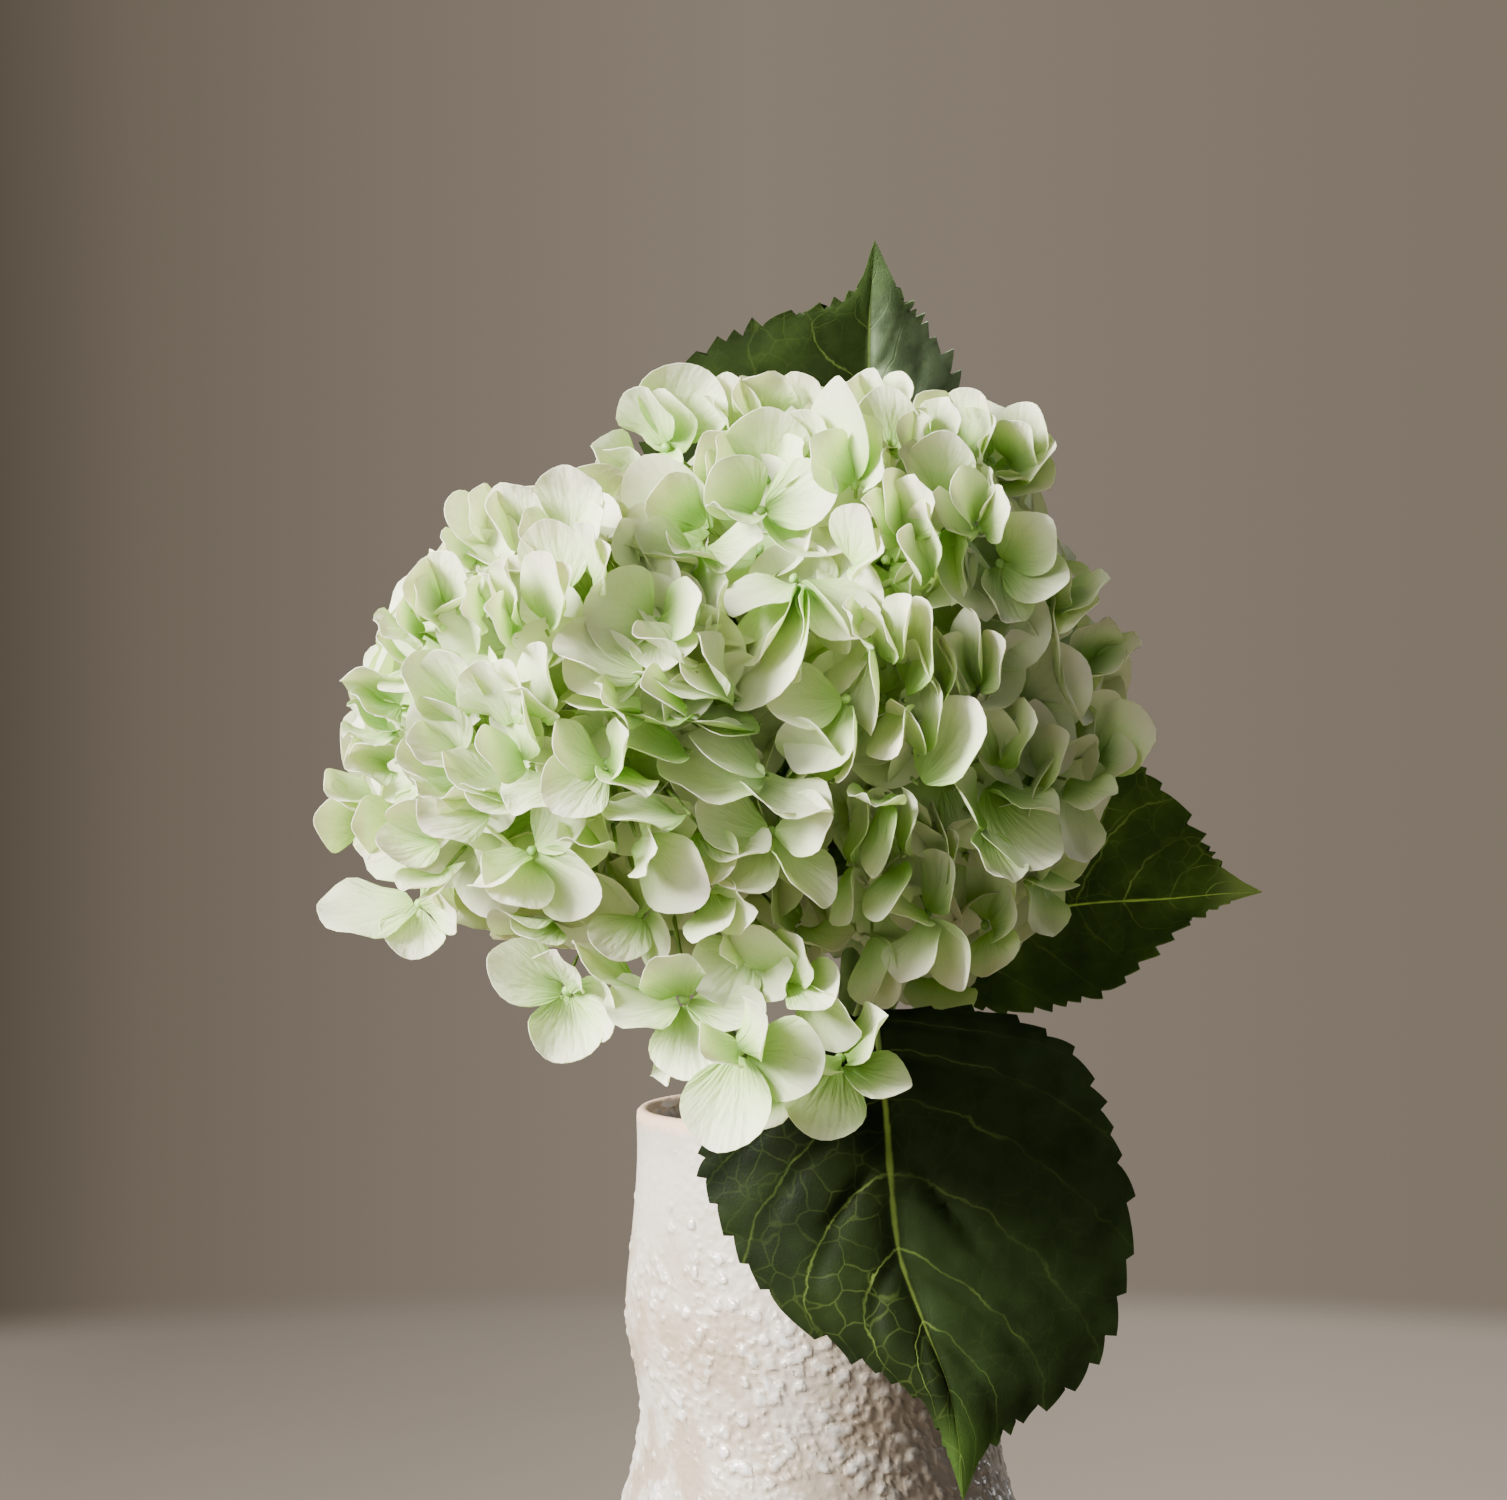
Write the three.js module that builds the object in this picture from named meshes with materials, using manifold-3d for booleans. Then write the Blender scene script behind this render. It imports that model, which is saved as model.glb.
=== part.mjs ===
// Two hydrangea heads on leafy stems, standing in a rough-glazed bottle vase.
// Millimetres, +Z up. The origin is the centre of the vase's flat foot, and the front faces -Y.

import * as THREE from 'three';
import { mergeVertices } from 'three/addons/utils/BufferGeometryUtils.js';
import Module from 'manifold-3d';

const wasm = await Module();
wasm.setup();

// ---- Driving dimensions -------------------------------------------------------------------

const VASE_HEIGHT = 236;
const VASE_WALL = 5.5;
const VASE_LIP = 3.2;
const VASE_FLOOR = 9;
const VASE_SIDES = 28;
// outer radius at each height, from the foot to the mouth
const VASE_PROFILE = [
  { z: 0, r: 57 }, { z: 4, r: 61 }, { z: 15, r: 70 }, { z: 35, r: 80 }, { z: 52, r: 84.5 },
  { z: 68, r: 84 }, { z: 88, r: 78 }, { z: 104, r: 68 }, { z: 118, r: 59.5 }, { z: 134, r: 55.5 },
  { z: 146, r: 54.3 }, { z: 158, r: 55.5 }, { z: 175, r: 57 }, { z: 198, r: 55 }, { z: 220, r: 54 },
  { z: 233, r: 54 },
];
const VASE_WAVE = 1.1;

const STEM_RADIUS = 3;
const STEM_SIDES = 6;
const STALK_RADIUS = 1.5;
const CLEARANCE = 0.3;

const LEAF_THICKNESS = 0.9;
const TOOTH_DEPTH = 3.2;
const TOOTH_LEAN = 0.8;
const STALK_SIDES = 6;
const STALK_STEPS = 10;

const PETAL_THICKNESS = 0.9;
const PETAL_SPREAD = 0.5;
// a petal's half width is at most this share of its distance from the floret's axis
const PETAL_CLEAR = 0.85;
const FLORET_EYE = 1.5;
const PEDICEL_RADIUS = 1.3;
const PEDICEL_SIDES = 3;
const PEDICEL_STEPS = 4;
const ROOT_SINK = 5;
const NOTCH = 0.3;
// the rim of one petal between its notches: along from the eye, across from its middle
const PETAL_RIM = [[0.68, -1], [0.96, -0.85], [0.96, 0.85], [0.68, 1]];
const CORE_SHARE = 0.72;
const FINEST_EDGE = 0.04;
// florets that the photograph hides: how near they may stand, and how many places are tried
const FLORET_SPACING = 34;
const PLACES_TRIED = 240;
const STEM_GAP_IN_FLORETS = 17;
const SEAM_GAP_IN_FLORETS = 9;
const SEED = 7;

// ---- Places named by the reference photograph ------------------------------------------------
// The photograph is seen from EYE, level, along +Y. A place that it shows is named by its pixel
// there and by its depth, which is its y in the part's own frame.

const EYE = new THREE.Vector3(-19.2, -980, 342.8);
const PHOTO_MIDDLE = { px: 753.5, py: 750 };
const MM_PER_PIXEL = 0.3;

const radians = THREE.MathUtils.degToRad;

function sightLine(px, py) {
  const scale = MM_PER_PIXEL / -EYE.y;
  return new THREE.Vector3((px - PHOTO_MIDDLE.px) * scale, 1, (PHOTO_MIDDLE.py - py) * scale);
}

function seen(px, py, depth) {
  return sightLine(px, py).multiplyScalar(depth - EYE.y).add(EYE);
}

// ---- Solids ------------------------------------------------------------------------------------

function toSolid(geometry) {
  const bare = geometry.clone();
  for (const name of Object.keys(bare.attributes)) {
    if (name !== 'position') bare.deleteAttribute(name);
  }
  const merged = mergeVertices(bare, 1e-4);
  const triangles = [];
  for (let i = 0; i < merged.index.count; i += 3) {
    const [a, b, c] = [0, 1, 2].map((k) => merged.index.getX(i + k));
    if (a !== b && b !== c && c !== a) triangles.push(a, b, c);
  }
  return new wasm.Manifold(new wasm.Mesh({
    numProp: 3,
    vertProperties: Float32Array.from(merged.attributes.position.array),
    triVerts: Uint32Array.from(triangles),
  }));
}

function toGeometry(solid) {
  const mesh = solid.getMesh();
  const geometry = new THREE.BufferGeometry();
  geometry.setAttribute('position', new THREE.BufferAttribute(mesh.vertProperties.slice(), 3));
  geometry.setIndex(new THREE.BufferAttribute(mesh.triVerts.slice(), 1));
  geometry.computeVertexNormals();
  return geometry;
}

// the largest closed body: loose scraps go, and pockets that the join sealed are filled
function oneBody(solid) {
  const bodies = solid.decompose();
  return bodies.reduce((best, body) => (body.volume() > best.volume() ? body : best));
}

function joined(solids) {
  return solids.reduce((sum, solid) => sum.add(solid));
}

// a thin closed plate over a sheet of points, both faces split into the same triangles; a root, if
// given, takes the place of the first point on the back
function plate(points, triangles, thickness, root = null) {
  const normals = points.map(() => new THREE.Vector3());
  const edges = new Map();
  for (const [a, b, c] of triangles) {
    const across = points[c].clone().sub(points[a]);
    const normal = points[b].clone().sub(points[a]).cross(across);
    for (const k of [a, b, c]) normals[k].add(normal);
    for (const [from, to] of [[a, b], [b, c], [c, a]]) {
      if (!edges.delete(`${to},${from}`)) edges.set(`${from},${to}`, [from, to]);
    }
  }
  const count = points.length;
  const positions = [];
  for (const side of [0.5, -0.5]) {
    points.forEach((point, k) => {
      const offset = normals[k].clone().normalize().multiplyScalar(side * thickness);
      const isRoot = root && side < 0 && k === 0;
      positions.push(...(isRoot ? root : point.clone().add(offset)).toArray());
    });
  }
  const index = [];
  for (const [a, b, c] of triangles) index.push(a, b, c, a + count, c + count, b + count);
  for (const [from, to] of edges.values()) {
    index.push(from, from + count, to + count, from, to + count, to);
  }
  const geometry = new THREE.BufferGeometry();
  geometry.setAttribute('position', new THREE.Float32BufferAttribute(positions, 3));
  geometry.setIndex(index);
  return toSolid(geometry);
}

// a round rod of the given radius along a smooth curve through the points
function rod(points, radius, sides, steps) {
  const outline = new THREE.Shape();
  for (let k = 0; k < sides; k += 1) {
    const angle = (2 * Math.PI * k) / sides;
    const [x, y] = [radius * Math.cos(angle), radius * Math.sin(angle)];
    if (k === 0) outline.moveTo(x, y);
    else outline.lineTo(x, y);
  }
  const path = new THREE.CatmullRomCurve3(points, false, 'centripetal');
  return toSolid(new THREE.ExtrudeGeometry(outline, { steps, extrudePath: path }));
}

// ---- Vase ----------------------------------------------------------------------------------------

// how far the hand-built wall swells or sinks at a height, all round; level at the foot
function vaseWave(angle, z) {
  const grown = Math.min(1, z / 60);
  const slow = Math.sin(2 * angle + z / 31) + 0.6 * Math.sin(3 * angle - z / 19 + 1.3);
  return VASE_WAVE * grown * (slow + 0.35 * Math.sin(5 * angle + z / 11));
}

function vaseGeometry() {
  const outer = VASE_PROFILE.map(({ z, r }) => new THREE.Vector2(r, z));
  const inner = VASE_PROFILE.filter(({ z }, k) => k % 2 === 0 && z > VASE_FLOOR && z < VASE_HEIGHT - 6)
    .map(({ z, r }) => new THREE.Vector2(r - VASE_WALL, z))
    .reverse();
  const mouth = VASE_PROFILE.at(-1).r;
  const lip = [
    new THREE.Vector2(mouth - VASE_LIP * 0.3, VASE_HEIGHT),
    new THREE.Vector2(mouth - VASE_LIP, VASE_HEIGHT),
    new THREE.Vector2(mouth - VASE_LIP - 0.8, VASE_HEIGHT - 3),
  ];
  const floor = [new THREE.Vector2(55, VASE_FLOOR), new THREE.Vector2(0, VASE_FLOOR)];
  const foot = new THREE.Vector2(0, 0);
  const geometry = new THREE.LatheGeometry([foot, ...outer, ...lip, ...inner, ...floor], VASE_SIDES);
  geometry.rotateX(Math.PI / 2);
  const place = geometry.attributes.position;
  for (let k = 0; k < place.count; k += 1) {
    const [x, y, z] = [place.getX(k), place.getY(k), place.getZ(k)];
    const radius = Math.hypot(x, y);
    if (radius < 1) continue;
    const swell = 1 + vaseWave(Math.atan2(y, x), z) / radius;
    place.setXY(k, x * swell, y * swell);
  }
  return geometry;
}

// ---- Stems ---------------------------------------------------------------------------------------

const STEM_FOOT = VASE_FLOOR + CLEARANCE;
const STEM_STEPS = 14;
const TALL_STEM = stemLine([
  new THREE.Vector3(14, 6, STEM_FOOT),
  new THREE.Vector3(14, 6, 40),
  new THREE.Vector3(13, 5, 120),
  new THREE.Vector3(8, -2, 236),
  new THREE.Vector3(9, -10, 272),
  new THREE.Vector3(11, -18, 305),
]);
const LOW_STEM = stemLine([
  new THREE.Vector3(-2, -4, STEM_FOOT),
  new THREE.Vector3(-2, -4, 40),
  new THREE.Vector3(-8, -10, 120),
  new THREE.Vector3(-15, -18, 232),
  new THREE.Vector3(-33, -28, 270),
  new THREE.Vector3(-58, -44, 312),
]);

function stemLine(points) {
  return new THREE.CatmullRomCurve3(points, false, 'centripetal').getSpacedPoints(STEM_STEPS);
}

// the start of a leaf's stalk against a stem: its two first points, level, going out at an angle
function stalkRoot(line, height, angle) {
  const above = line.findIndex((point) => point.z > height);
  const [low, high] = [line[above - 1], line[above]];
  const axis = low.clone().lerp(high, (height - low.z) / (high.z - low.z));
  const out = new THREE.Vector3(Math.cos(radians(angle)), Math.sin(radians(angle)), 0);
  const away = STEM_RADIUS + 2 * CLEARANCE;
  return [axis.clone().addScaledVector(out, away), axis.clone().addScaledVector(out, away + 5)];
}

function stemGeometry(line) {
  return toGeometry(rod(line, STEM_RADIUS, STEM_SIDES, STEM_STEPS));
}

// the plain hole that a stem's top stands in
function stemHole(line) {
  const top = line.at(-1);
  const beyond = top.clone().sub(line.at(-2)).setLength(2 * CLEARANCE).add(top);
  return rod([...line.slice(0, -1), beyond], STEM_RADIUS + 1.5 * CLEARANCE, STEM_SIDES, STEM_STEPS);
}

// ---- Leaves --------------------------------------------------------------------------------------
// Each blade is spread between its left edge, its midrib and its right edge, from base to tip.

const LEAF_LOW = {
  left: [
    seen(872, 1012, -61), seen(800, 1040, -61), seen(722, 1110, -61), seen(703, 1165, -60),
    seen(728, 1230, -63), seen(780, 1305, -67), seen(860, 1358, -72), seen(925, 1402, -76),
    seen(948, 1450, -78), seen(963, 1500, -80),
  ],
  midrib: [
    seen(873, 1010, -61), seen(876, 1035, -66), seen(881, 1070, -68), seen(886, 1115, -68),
    seen(891, 1190, -68), seen(900, 1258, -70), seen(922, 1320, -74), seen(945, 1380, -77),
    seen(958, 1440, -79), seen(963, 1500, -80),
  ],
  right: [
    seen(877, 1010, -61), seen(990, 1014, -60), seen(1068, 1048, -57), seen(1102, 1110, -54),
    seen(1128, 1205, -54), seen(1116, 1312, -60), seen(1078, 1380, -66), seen(1020, 1418, -72),
    seen(985, 1450, -77), seen(963, 1500, -80),
  ],
  stalk: [
    ...stalkRoot(TALL_STEM, 258, -85), new THREE.Vector3(11, -30, 266),
    new THREE.Vector3(13.4, -50, 274), seen(876, 1026, -65), seen(882, 1075, -67.5),
  ],
  teeth: 20,
  bulge: 4,
};
const LEAF_RIGHT = {
  left: [
    seen(905, 985, 14), seen(940, 905, 32), seen(1010, 830, 48), seen(1080, 775, 52),
    seen(1130, 765, 50), seen(1175, 802, 44), seen(1205, 845, 36), seen(1228, 872, 30),
    seen(1262, 892, 26),
  ],
  midrib: [
    seen(905, 985, 14), seen(945, 958, 22), seen(1000, 930, 28), seen(1060, 908, 31),
    seen(1110, 902, 32), seen(1155, 900, 31), seen(1195, 897, 30), seen(1228, 894, 28),
    seen(1262, 892, 26),
  ],
  right: [
    seen(905, 985, 14), seen(950, 1000, 12), seen(1005, 1012, 14), seen(1058, 1005, 17),
    seen(1108, 990, 20), seen(1150, 955, 23), seen(1188, 922, 26), seen(1222, 905, 27),
    seen(1262, 892, 26),
  ],
  stalk: [
    ...stalkRoot(TALL_STEM, 254, 25), seen(905, 985, 14), seen(945, 960, 21),
  ],
  teeth: 15,
  bulge: -3,
};
const LEAF_TOP = {
  left: [
    seen(862, 800, 62), seen(790, 760, 66), seen(712, 680, 70), seen(660, 570, 72),
    seen(648, 460, 68), seen(680, 372, 58), seen(768, 322, 48), seen(850, 296, 40),
    seen(875, 240, 34),
  ],
  midrib: [
    seen(864, 800, 62), seen(866, 742, 66), seen(868, 670, 70), seen(869, 590, 71),
    seen(870, 500, 67), seen(870, 410, 57), seen(869, 345, 48), seen(870, 300, 41),
    seen(875, 240, 34),
  ],
  right: [
    seen(866, 800, 62), seen(920, 765, 70), seen(968, 690, 80), seen(990, 585, 86),
    seen(985, 480, 80), seen(958, 385, 66), seen(922, 325, 52), seen(904, 300, 42),
    seen(875, 240, 34),
  ],
  stalk: [
    ...stalkRoot(TALL_STEM, 250, 95), new THREE.Vector3(9, 22, 272), new THREE.Vector3(11, 45, 295),
    new THREE.Vector3(13, 59, 318), seen(865, 775, 63.5),
  ],
  teeth: 17,
  bulge: 3,
};

// the sheet's columns, from the left edge over the midrib to the right edge
const LEAF_COLUMNS = [-1, -0.5, 0, 0.5, 1];

function leafPoint(curves, along, across, bulge) {
  const middle = curves.midrib.getPoint(along);
  const edge = (across < 0 ? curves.left : curves.right).getPoint(along);
  const share = Math.abs(across);
  const point = middle.clone().lerp(edge, share);
  point.y -= bulge * Math.sin(Math.PI * share) * Math.sin(Math.PI * along);
  return point;
}

function bladeSolid({ left, midrib, right, teeth, bulge }) {
  const smooth = (points) => new THREE.CatmullRomCurve3(points, false, 'centripetal');
  const curves = { left: smooth(left), midrib: smooth(midrib), right: smooth(right) };
  const points = [];
  const triangles = [];
  const width = LEAF_COLUMNS.length;
  const base = points.push(leafPoint(curves, 0, 0, bulge)) - 1;
  for (let row = 1; row < teeth; row += 1) {
    for (const across of LEAF_COLUMNS) points.push(leafPoint(curves, row / teeth, across, bulge));
  }
  const tip = points.push(leafPoint(curves, 1, 0, bulge)) - 1;
  for (let column = 0; column < width - 1; column += 1) {
    triangles.push([base, base + 1 + column, base + 2 + column]);
    const last = tip - width + column;
    triangles.push([last, tip, last + 1]);
    for (let row = 0; row < teeth - 2; row += 1) {
      const a = base + 1 + row * width + column;
      const b = a + width;
      triangles.push([a, b, a + 1], [a + 1, b, b + 1]);
    }
  }
  // one saw tooth between each two rows, on both edges, leaning to the tip
  for (let row = 0; row < teeth - 2; row += 1) {
    const a = base + 1 + row * width;
    const b = a + width - 1;
    for (const [from, to, inside] of [[a, a + width, a + 1], [b + width, b, b - 1]]) {
      const nearTip = points[Math.max(from, to)];
      const nearBase = points[Math.min(from, to)];
      const outward = nearTip.clone().add(nearBase).multiplyScalar(0.5).sub(points[inside]).normalize();
      const tooth = nearBase.clone().lerp(nearTip, TOOTH_LEAN).addScaledVector(outward, TOOTH_DEPTH);
      const k = points.push(tooth) - 1;
      triangles.push([to, from, k]);
    }
  }
  return plate(points, triangles, LEAF_THICKNESS);
}

function leafGeometry(leaf) {
  const stalk = rod(leaf.stalk, STALK_RADIUS, STALK_SIDES, STALK_STEPS);
  return toGeometry(oneBody(bladeSolid(leaf).add(stalk)));
}

// ---- Flower heads --------------------------------------------------------------------------------
// Floret centres lie on an ellipsoid round each head's core, and petals reach out of it.

const HEADS = {
  tall: { centre: seen(858, 690, -25), reach: new THREE.Vector3(68, 64, 80), lean: -10, stem: TALL_STEM },
  low: { centre: seen(592, 722, -52), reach: new THREE.Vector3(64, 58, 60), lean: 0, stem: LOW_STEM },
};
// the two heads press against each other at this plane, whose normal points to the low head
const SEAM_NORMAL = new THREE.Vector3(-0.8, -0.38, -0.46).normalize();
const SEAM_POINT = HEADS.tall.centre.clone().addScaledVector(SEAM_NORMAL, 40);

// px, py: where a floret's eye is seen. roll: its first petal's way in the picture, from the right,
// turning up. cup: how steeply the petals stand, in degrees. petal: length. turn, nod: how far it
// faces more to the right or down than the head's surface does. lift: how far it stands proud.
const FLORETS_SEEN = [
  { on: 'tall', px: 668, py: 455, roll: 68, cup: 30, petal: 25 },
  { on: 'tall', px: 640, py: 530, roll: 60, cup: 30, petal: 24 },
  { on: 'tall', px: 762, py: 468, roll: 85, cup: 45, petal: 25, nod: -20, lift: -4 },
  { on: 'tall', px: 762, py: 530, roll: 108, cup: 22, petal: 25, lift: 4 },
  { on: 'tall', px: 708, py: 560, roll: -8, cup: 30, petal: 23, lift: 2 },
  { on: 'tall', px: 853, py: 482, roll: 100, cup: 52, petal: 27, nod: -35 },
  { on: 'tall', px: 800, py: 405, roll: 45, cup: 30, petal: 24 },
  { on: 'tall', px: 885, py: 408, roll: 50, cup: 30, petal: 24 },
  { on: 'tall', px: 802, py: 590, roll: -125, cup: 58, petal: 30, turn: -10, nod: 25, lift: 8 },
  { on: 'tall', px: 843, py: 700, roll: 170, cup: 55, petal: 28, turn: -35, nod: 5, lift: 8 },
  { on: 'tall', px: 882, py: 560, roll: 45, cup: 35, petal: 25, turn: 45 },
  { on: 'tall', px: 905, py: 655, roll: 40, cup: 38, petal: 26, turn: 50 },
  { on: 'tall', px: 955, py: 500, roll: 60, cup: 35, petal: 25, turn: 20, lift: 2 },
  { on: 'tall', px: 985, py: 430, roll: 70, cup: 30, petal: 24 },
  { on: 'tall', px: 1030, py: 470, roll: 60, cup: 32, petal: 24 },
  { on: 'tall', px: 1010, py: 560, roll: 50, cup: 35, petal: 25 },
  { on: 'tall', px: 1070, py: 590, roll: 55, cup: 35, petal: 25 },
  { on: 'tall', px: 1020, py: 690, roll: 50, cup: 35, petal: 25 },
  { on: 'tall', px: 1095, py: 660, roll: 50, cup: 35, petal: 25 },
  { on: 'tall', px: 1100, py: 745, roll: 40, cup: 32, petal: 25 },
  { on: 'tall', px: 965, py: 690, roll: -100, cup: 40, petal: 28, turn: 15, nod: 10, lift: 4 },
  { on: 'tall', px: 1040, py: 800, roll: -120, cup: 40, petal: 28, nod: 10, lift: 2 },
  { on: 'tall', px: 905, py: 780, roll: 50, cup: 40, petal: 26, turn: 45, lift: 2 },
  { on: 'tall', px: 890, py: 870, roll: 45, cup: 42, petal: 26, turn: 30 },
  { on: 'tall', px: 935, py: 910, roll: 85, cup: 35, petal: 26, lift: 4 },
  { on: 'tall', px: 1010, py: 900, roll: 50, cup: 40, petal: 26 },
  { on: 'tall', px: 870, py: 960, roll: 60, cup: 35, petal: 24 },
  { on: 'low', px: 548, py: 508, roll: 60, cup: 25, petal: 24, nod: -10 },
  { on: 'low', px: 480, py: 530, roll: 70, cup: 32, petal: 22 },
  { on: 'low', px: 435, py: 600, roll: 80, cup: 35, petal: 23 },
  { on: 'low', px: 520, py: 600, roll: 80, cup: 40, petal: 25, nod: -15 },
  { on: 'low', px: 648, py: 625, roll: 120, cup: 40, petal: 26, turn: 10 },
  { on: 'low', px: 640, py: 690, roll: 20, cup: 40, petal: 27, turn: 10, nod: -10, lift: 4 },
  { on: 'low', px: 405, py: 675, roll: 60, cup: 35, petal: 24 },
  { on: 'low', px: 490, py: 690, roll: 50, cup: 35, petal: 25, lift: 4 },
  { on: 'low', px: 385, py: 760, roll: 100, cup: 30, petal: 25 },
  { on: 'low', px: 455, py: 770, roll: 45, cup: 35, petal: 25 },
  { on: 'low', px: 360, py: 820, roll: 60, cup: 35, petal: 23 },
  { on: 'low', px: 605, py: 758, roll: 150, cup: 30, petal: 27, lift: 8 },
  { on: 'low', px: 700, py: 745, roll: -30, cup: 42, petal: 27, nod: -10, lift: 6 },
  { on: 'low', px: 775, py: 828, roll: 178, cup: 35, petal: 28, lift: 4 },
  { on: 'low', px: 440, py: 845, roll: 80, cup: 38, petal: 26, lift: 2 },
  { on: 'low', px: 535, py: 838, roll: -60, cup: 30, petal: 28, nod: 10, lift: 6 },
  { on: 'low', px: 660, py: 850, roll: -50, cup: 35, petal: 28, nod: 10, lift: 6 },
  { on: 'low', px: 720, py: 905, roll: 40, cup: 40, petal: 25, nod: 10 },
  { on: 'low', px: 810, py: 920, roll: 60, cup: 40, petal: 24 },
  { on: 'low', px: 410, py: 905, roll: 175, cup: 25, petal: 26, nod: 10 },
  { on: 'low', px: 630, py: 918, roll: -10, cup: 35, petal: 26, nod: 20, lift: 2 },
];
// the loose florets that droop below the low head, with their depth
const FLORETS_DROOPING = [
  { px: 572, py: 985, depth: -84, roll: 165, cup: 22, petal: 24, turn: -8, nod: 15 },
  { px: 685, py: 1000, depth: -92, roll: 190, cup: 20, petal: 26, nod: 10 },
  { px: 760, py: 945, depth: -84, roll: 200, cup: 25, petal: 24 },
  { px: 741, py: 1050, depth: -104, roll: 160, cup: 20, petal: 26, turn: 5, nod: 15 },
  { px: 795, py: 985, depth: -88, roll: 50, cup: 28, petal: 24, turn: 10 },
  { px: 842, py: 1058, depth: -90, roll: 200, cup: 25, petal: 25, turn: 20, nod: 10 },
  { px: 672, py: 1068, depth: -70, roll: 30, cup: 30, petal: 20, nod: 20 },
  { px: 775, py: 1105, depth: -80, roll: 70, cup: 30, petal: 22, nod: 20 },
];
// the place inside the low head that their pedicels run to
const SPRAY_ROOT = seen(650, 800, -50);

// seeded draws between 0 and 1
function drawFrom(seed) {
  let state = seed >>> 0;
  return () => {
    state = (state + 0x6d2b79f5) >>> 0;
    let t = state;
    t = Math.imul(t ^ (t >>> 15), t | 1);
    t ^= t + Math.imul(t ^ (t >>> 7), t | 61);
    return ((t ^ (t >>> 14)) >>> 0) / 4294967296;
  };
}

const leanAxis = new THREE.Vector3(0, 1, 0);

// the way out of a head at a place on it
function outwardFrom(head, unitPlace) {
  return unitPlace.clone().divide(head.reach).applyAxisAngle(leanAxis, radians(head.lean)).normalize();
}

function onHead(head, unitPlace) {
  return unitPlace.clone().multiply(head.reach).applyAxisAngle(leanAxis, radians(head.lean)).add(head.centre);
}

// where the line of sight through a pixel first meets a head, or passes nearest to it
function seenOnHead(head, px, py) {
  const level = (vector) => vector.applyAxisAngle(leanAxis, -radians(head.lean)).divide(head.reach);
  const from = level(EYE.clone().sub(head.centre));
  const way = level(sightLine(px, py));
  const [a, b, c] = [way.lengthSq(), from.dot(way), from.lengthSq() - 1];
  const inside = b * b - a * c;
  const travel = inside > 0 ? (-b - Math.sqrt(inside)) / a : -b / a;
  return from.addScaledVector(way, travel);
}

// the floret's own axes: x along its first petal, z the way it faces
function floretAxes(outward, roll, turn, nod) {
  const z = outward.clone().applyAxisAngle(new THREE.Vector3(0, 0, 1), radians(turn));
  const level = Math.abs(z.z) < 0.98 ? new THREE.Vector3(z.y, -z.x, 0) : new THREE.Vector3(1, 0, 0);
  z.applyAxisAngle(level.normalize(), radians(-nod)).normalize();
  const x = new THREE.Vector3(Math.cos(radians(roll)), 0, Math.sin(radians(roll)));
  x.addScaledVector(z, -x.dot(z));
  if (x.length() < 0.15) x.set(0, -1, 0).addScaledVector(z, z.y);
  x.normalize();
  return { x, y: z.clone().cross(x), z };
}

function petalHalfWidth(along, petal) {
  const broadest = 0.66;
  if (along < broadest) {
    return petal * PETAL_SPREAD * (0.22 + 0.78 * Math.sin((along / broadest) * Math.PI / 2));
  }
  return petal * PETAL_SPREAD * Math.sqrt(Math.max(0, 1 - ((along - broadest) / 0.36) ** 2));
}

// a place on one of a floret's four petals: along 0 at the eye to 1 at the tip, across -1 to 1
function petalPoint(floret, turn, along, across) {
  const { axes, petal, place } = floret;
  const rise = radians(floret.cup) * (1.15 - 0.45 * along);
  const reach = FLORET_EYE + petal * along * Math.cos(rise);
  const half = Math.min(petalHalfWidth(along, petal), PETAL_CLEAR * reach);
  const fold = 0.18 * half * across * across;
  const out = reach - 0.6 * fold * Math.sin(rise);
  const up = petal * along * Math.sin(rise) + fold * Math.cos(rise);
  const [c, s] = [Math.cos(turn), Math.sin(turn)];
  return place.clone()
    .addScaledVector(axes.x, out * c - half * across * s)
    .addScaledVector(axes.y, out * s + half * across * c)
    .addScaledVector(axes.z, up);
}

// petals that would cross the seam between the heads bend along it instead
function bentClear(point, sign) {
  const SOFT = 6;
  const LEAST = 1.2;
  const depth = point.clone().sub(SEAM_POINT).dot(SEAM_NORMAL) * sign - LEAST;
  if (depth >= SOFT) return point;
  const bent = SOFT * Math.exp(depth / SOFT - 1);
  return point.addScaledVector(SEAM_NORMAL, (bent - depth) * sign);
}

// Four joined petals as one cupped plate. Its back narrows from the petals' notches to a root,
// which is sunk in what carries the floret.
function floretSolid(floret) {
  const points = [floret.place.clone()];
  const triangles = [];
  const quarter = Math.PI / 2;
  for (let k = 0; k < 4; k += 1) {
    const notch = petalPoint(floret, quarter * k, NOTCH, -1).add(petalPoint(floret, quarter * (k - 1), NOTCH, 1));
    points.push(notch.multiplyScalar(0.5));
    for (const [along, across] of PETAL_RIM) points.push(petalPoint(floret, quarter * k, along, across));
  }
  for (let k = 0; k < 4; k += 1) {
    const [notch, left, leftTip, rightTip, right] = [1, 2, 3, 4, 5].map((j) => j + 5 * k);
    const next = 1 + 5 * ((k + 1) % 4);
    triangles.push([0, notch, next], [notch, left, right], [notch, right, next]);
    triangles.push([left, leftTip, right], [leftTip, rightTip, right]);
  }
  const clear = floret.side === 0 ? points : points.map((point) => bentClear(point, floret.side));
  return plate(clear, triangles, PETAL_THICKNESS, floret.root);
}

// the curved pedicel of a loose floret, from its root back into the head
function pedicelSolid(floret) {
  return rod(floret.pedicel, PEDICEL_RADIUS, PEDICEL_SIDES, PEDICEL_STEPS);
}

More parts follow.
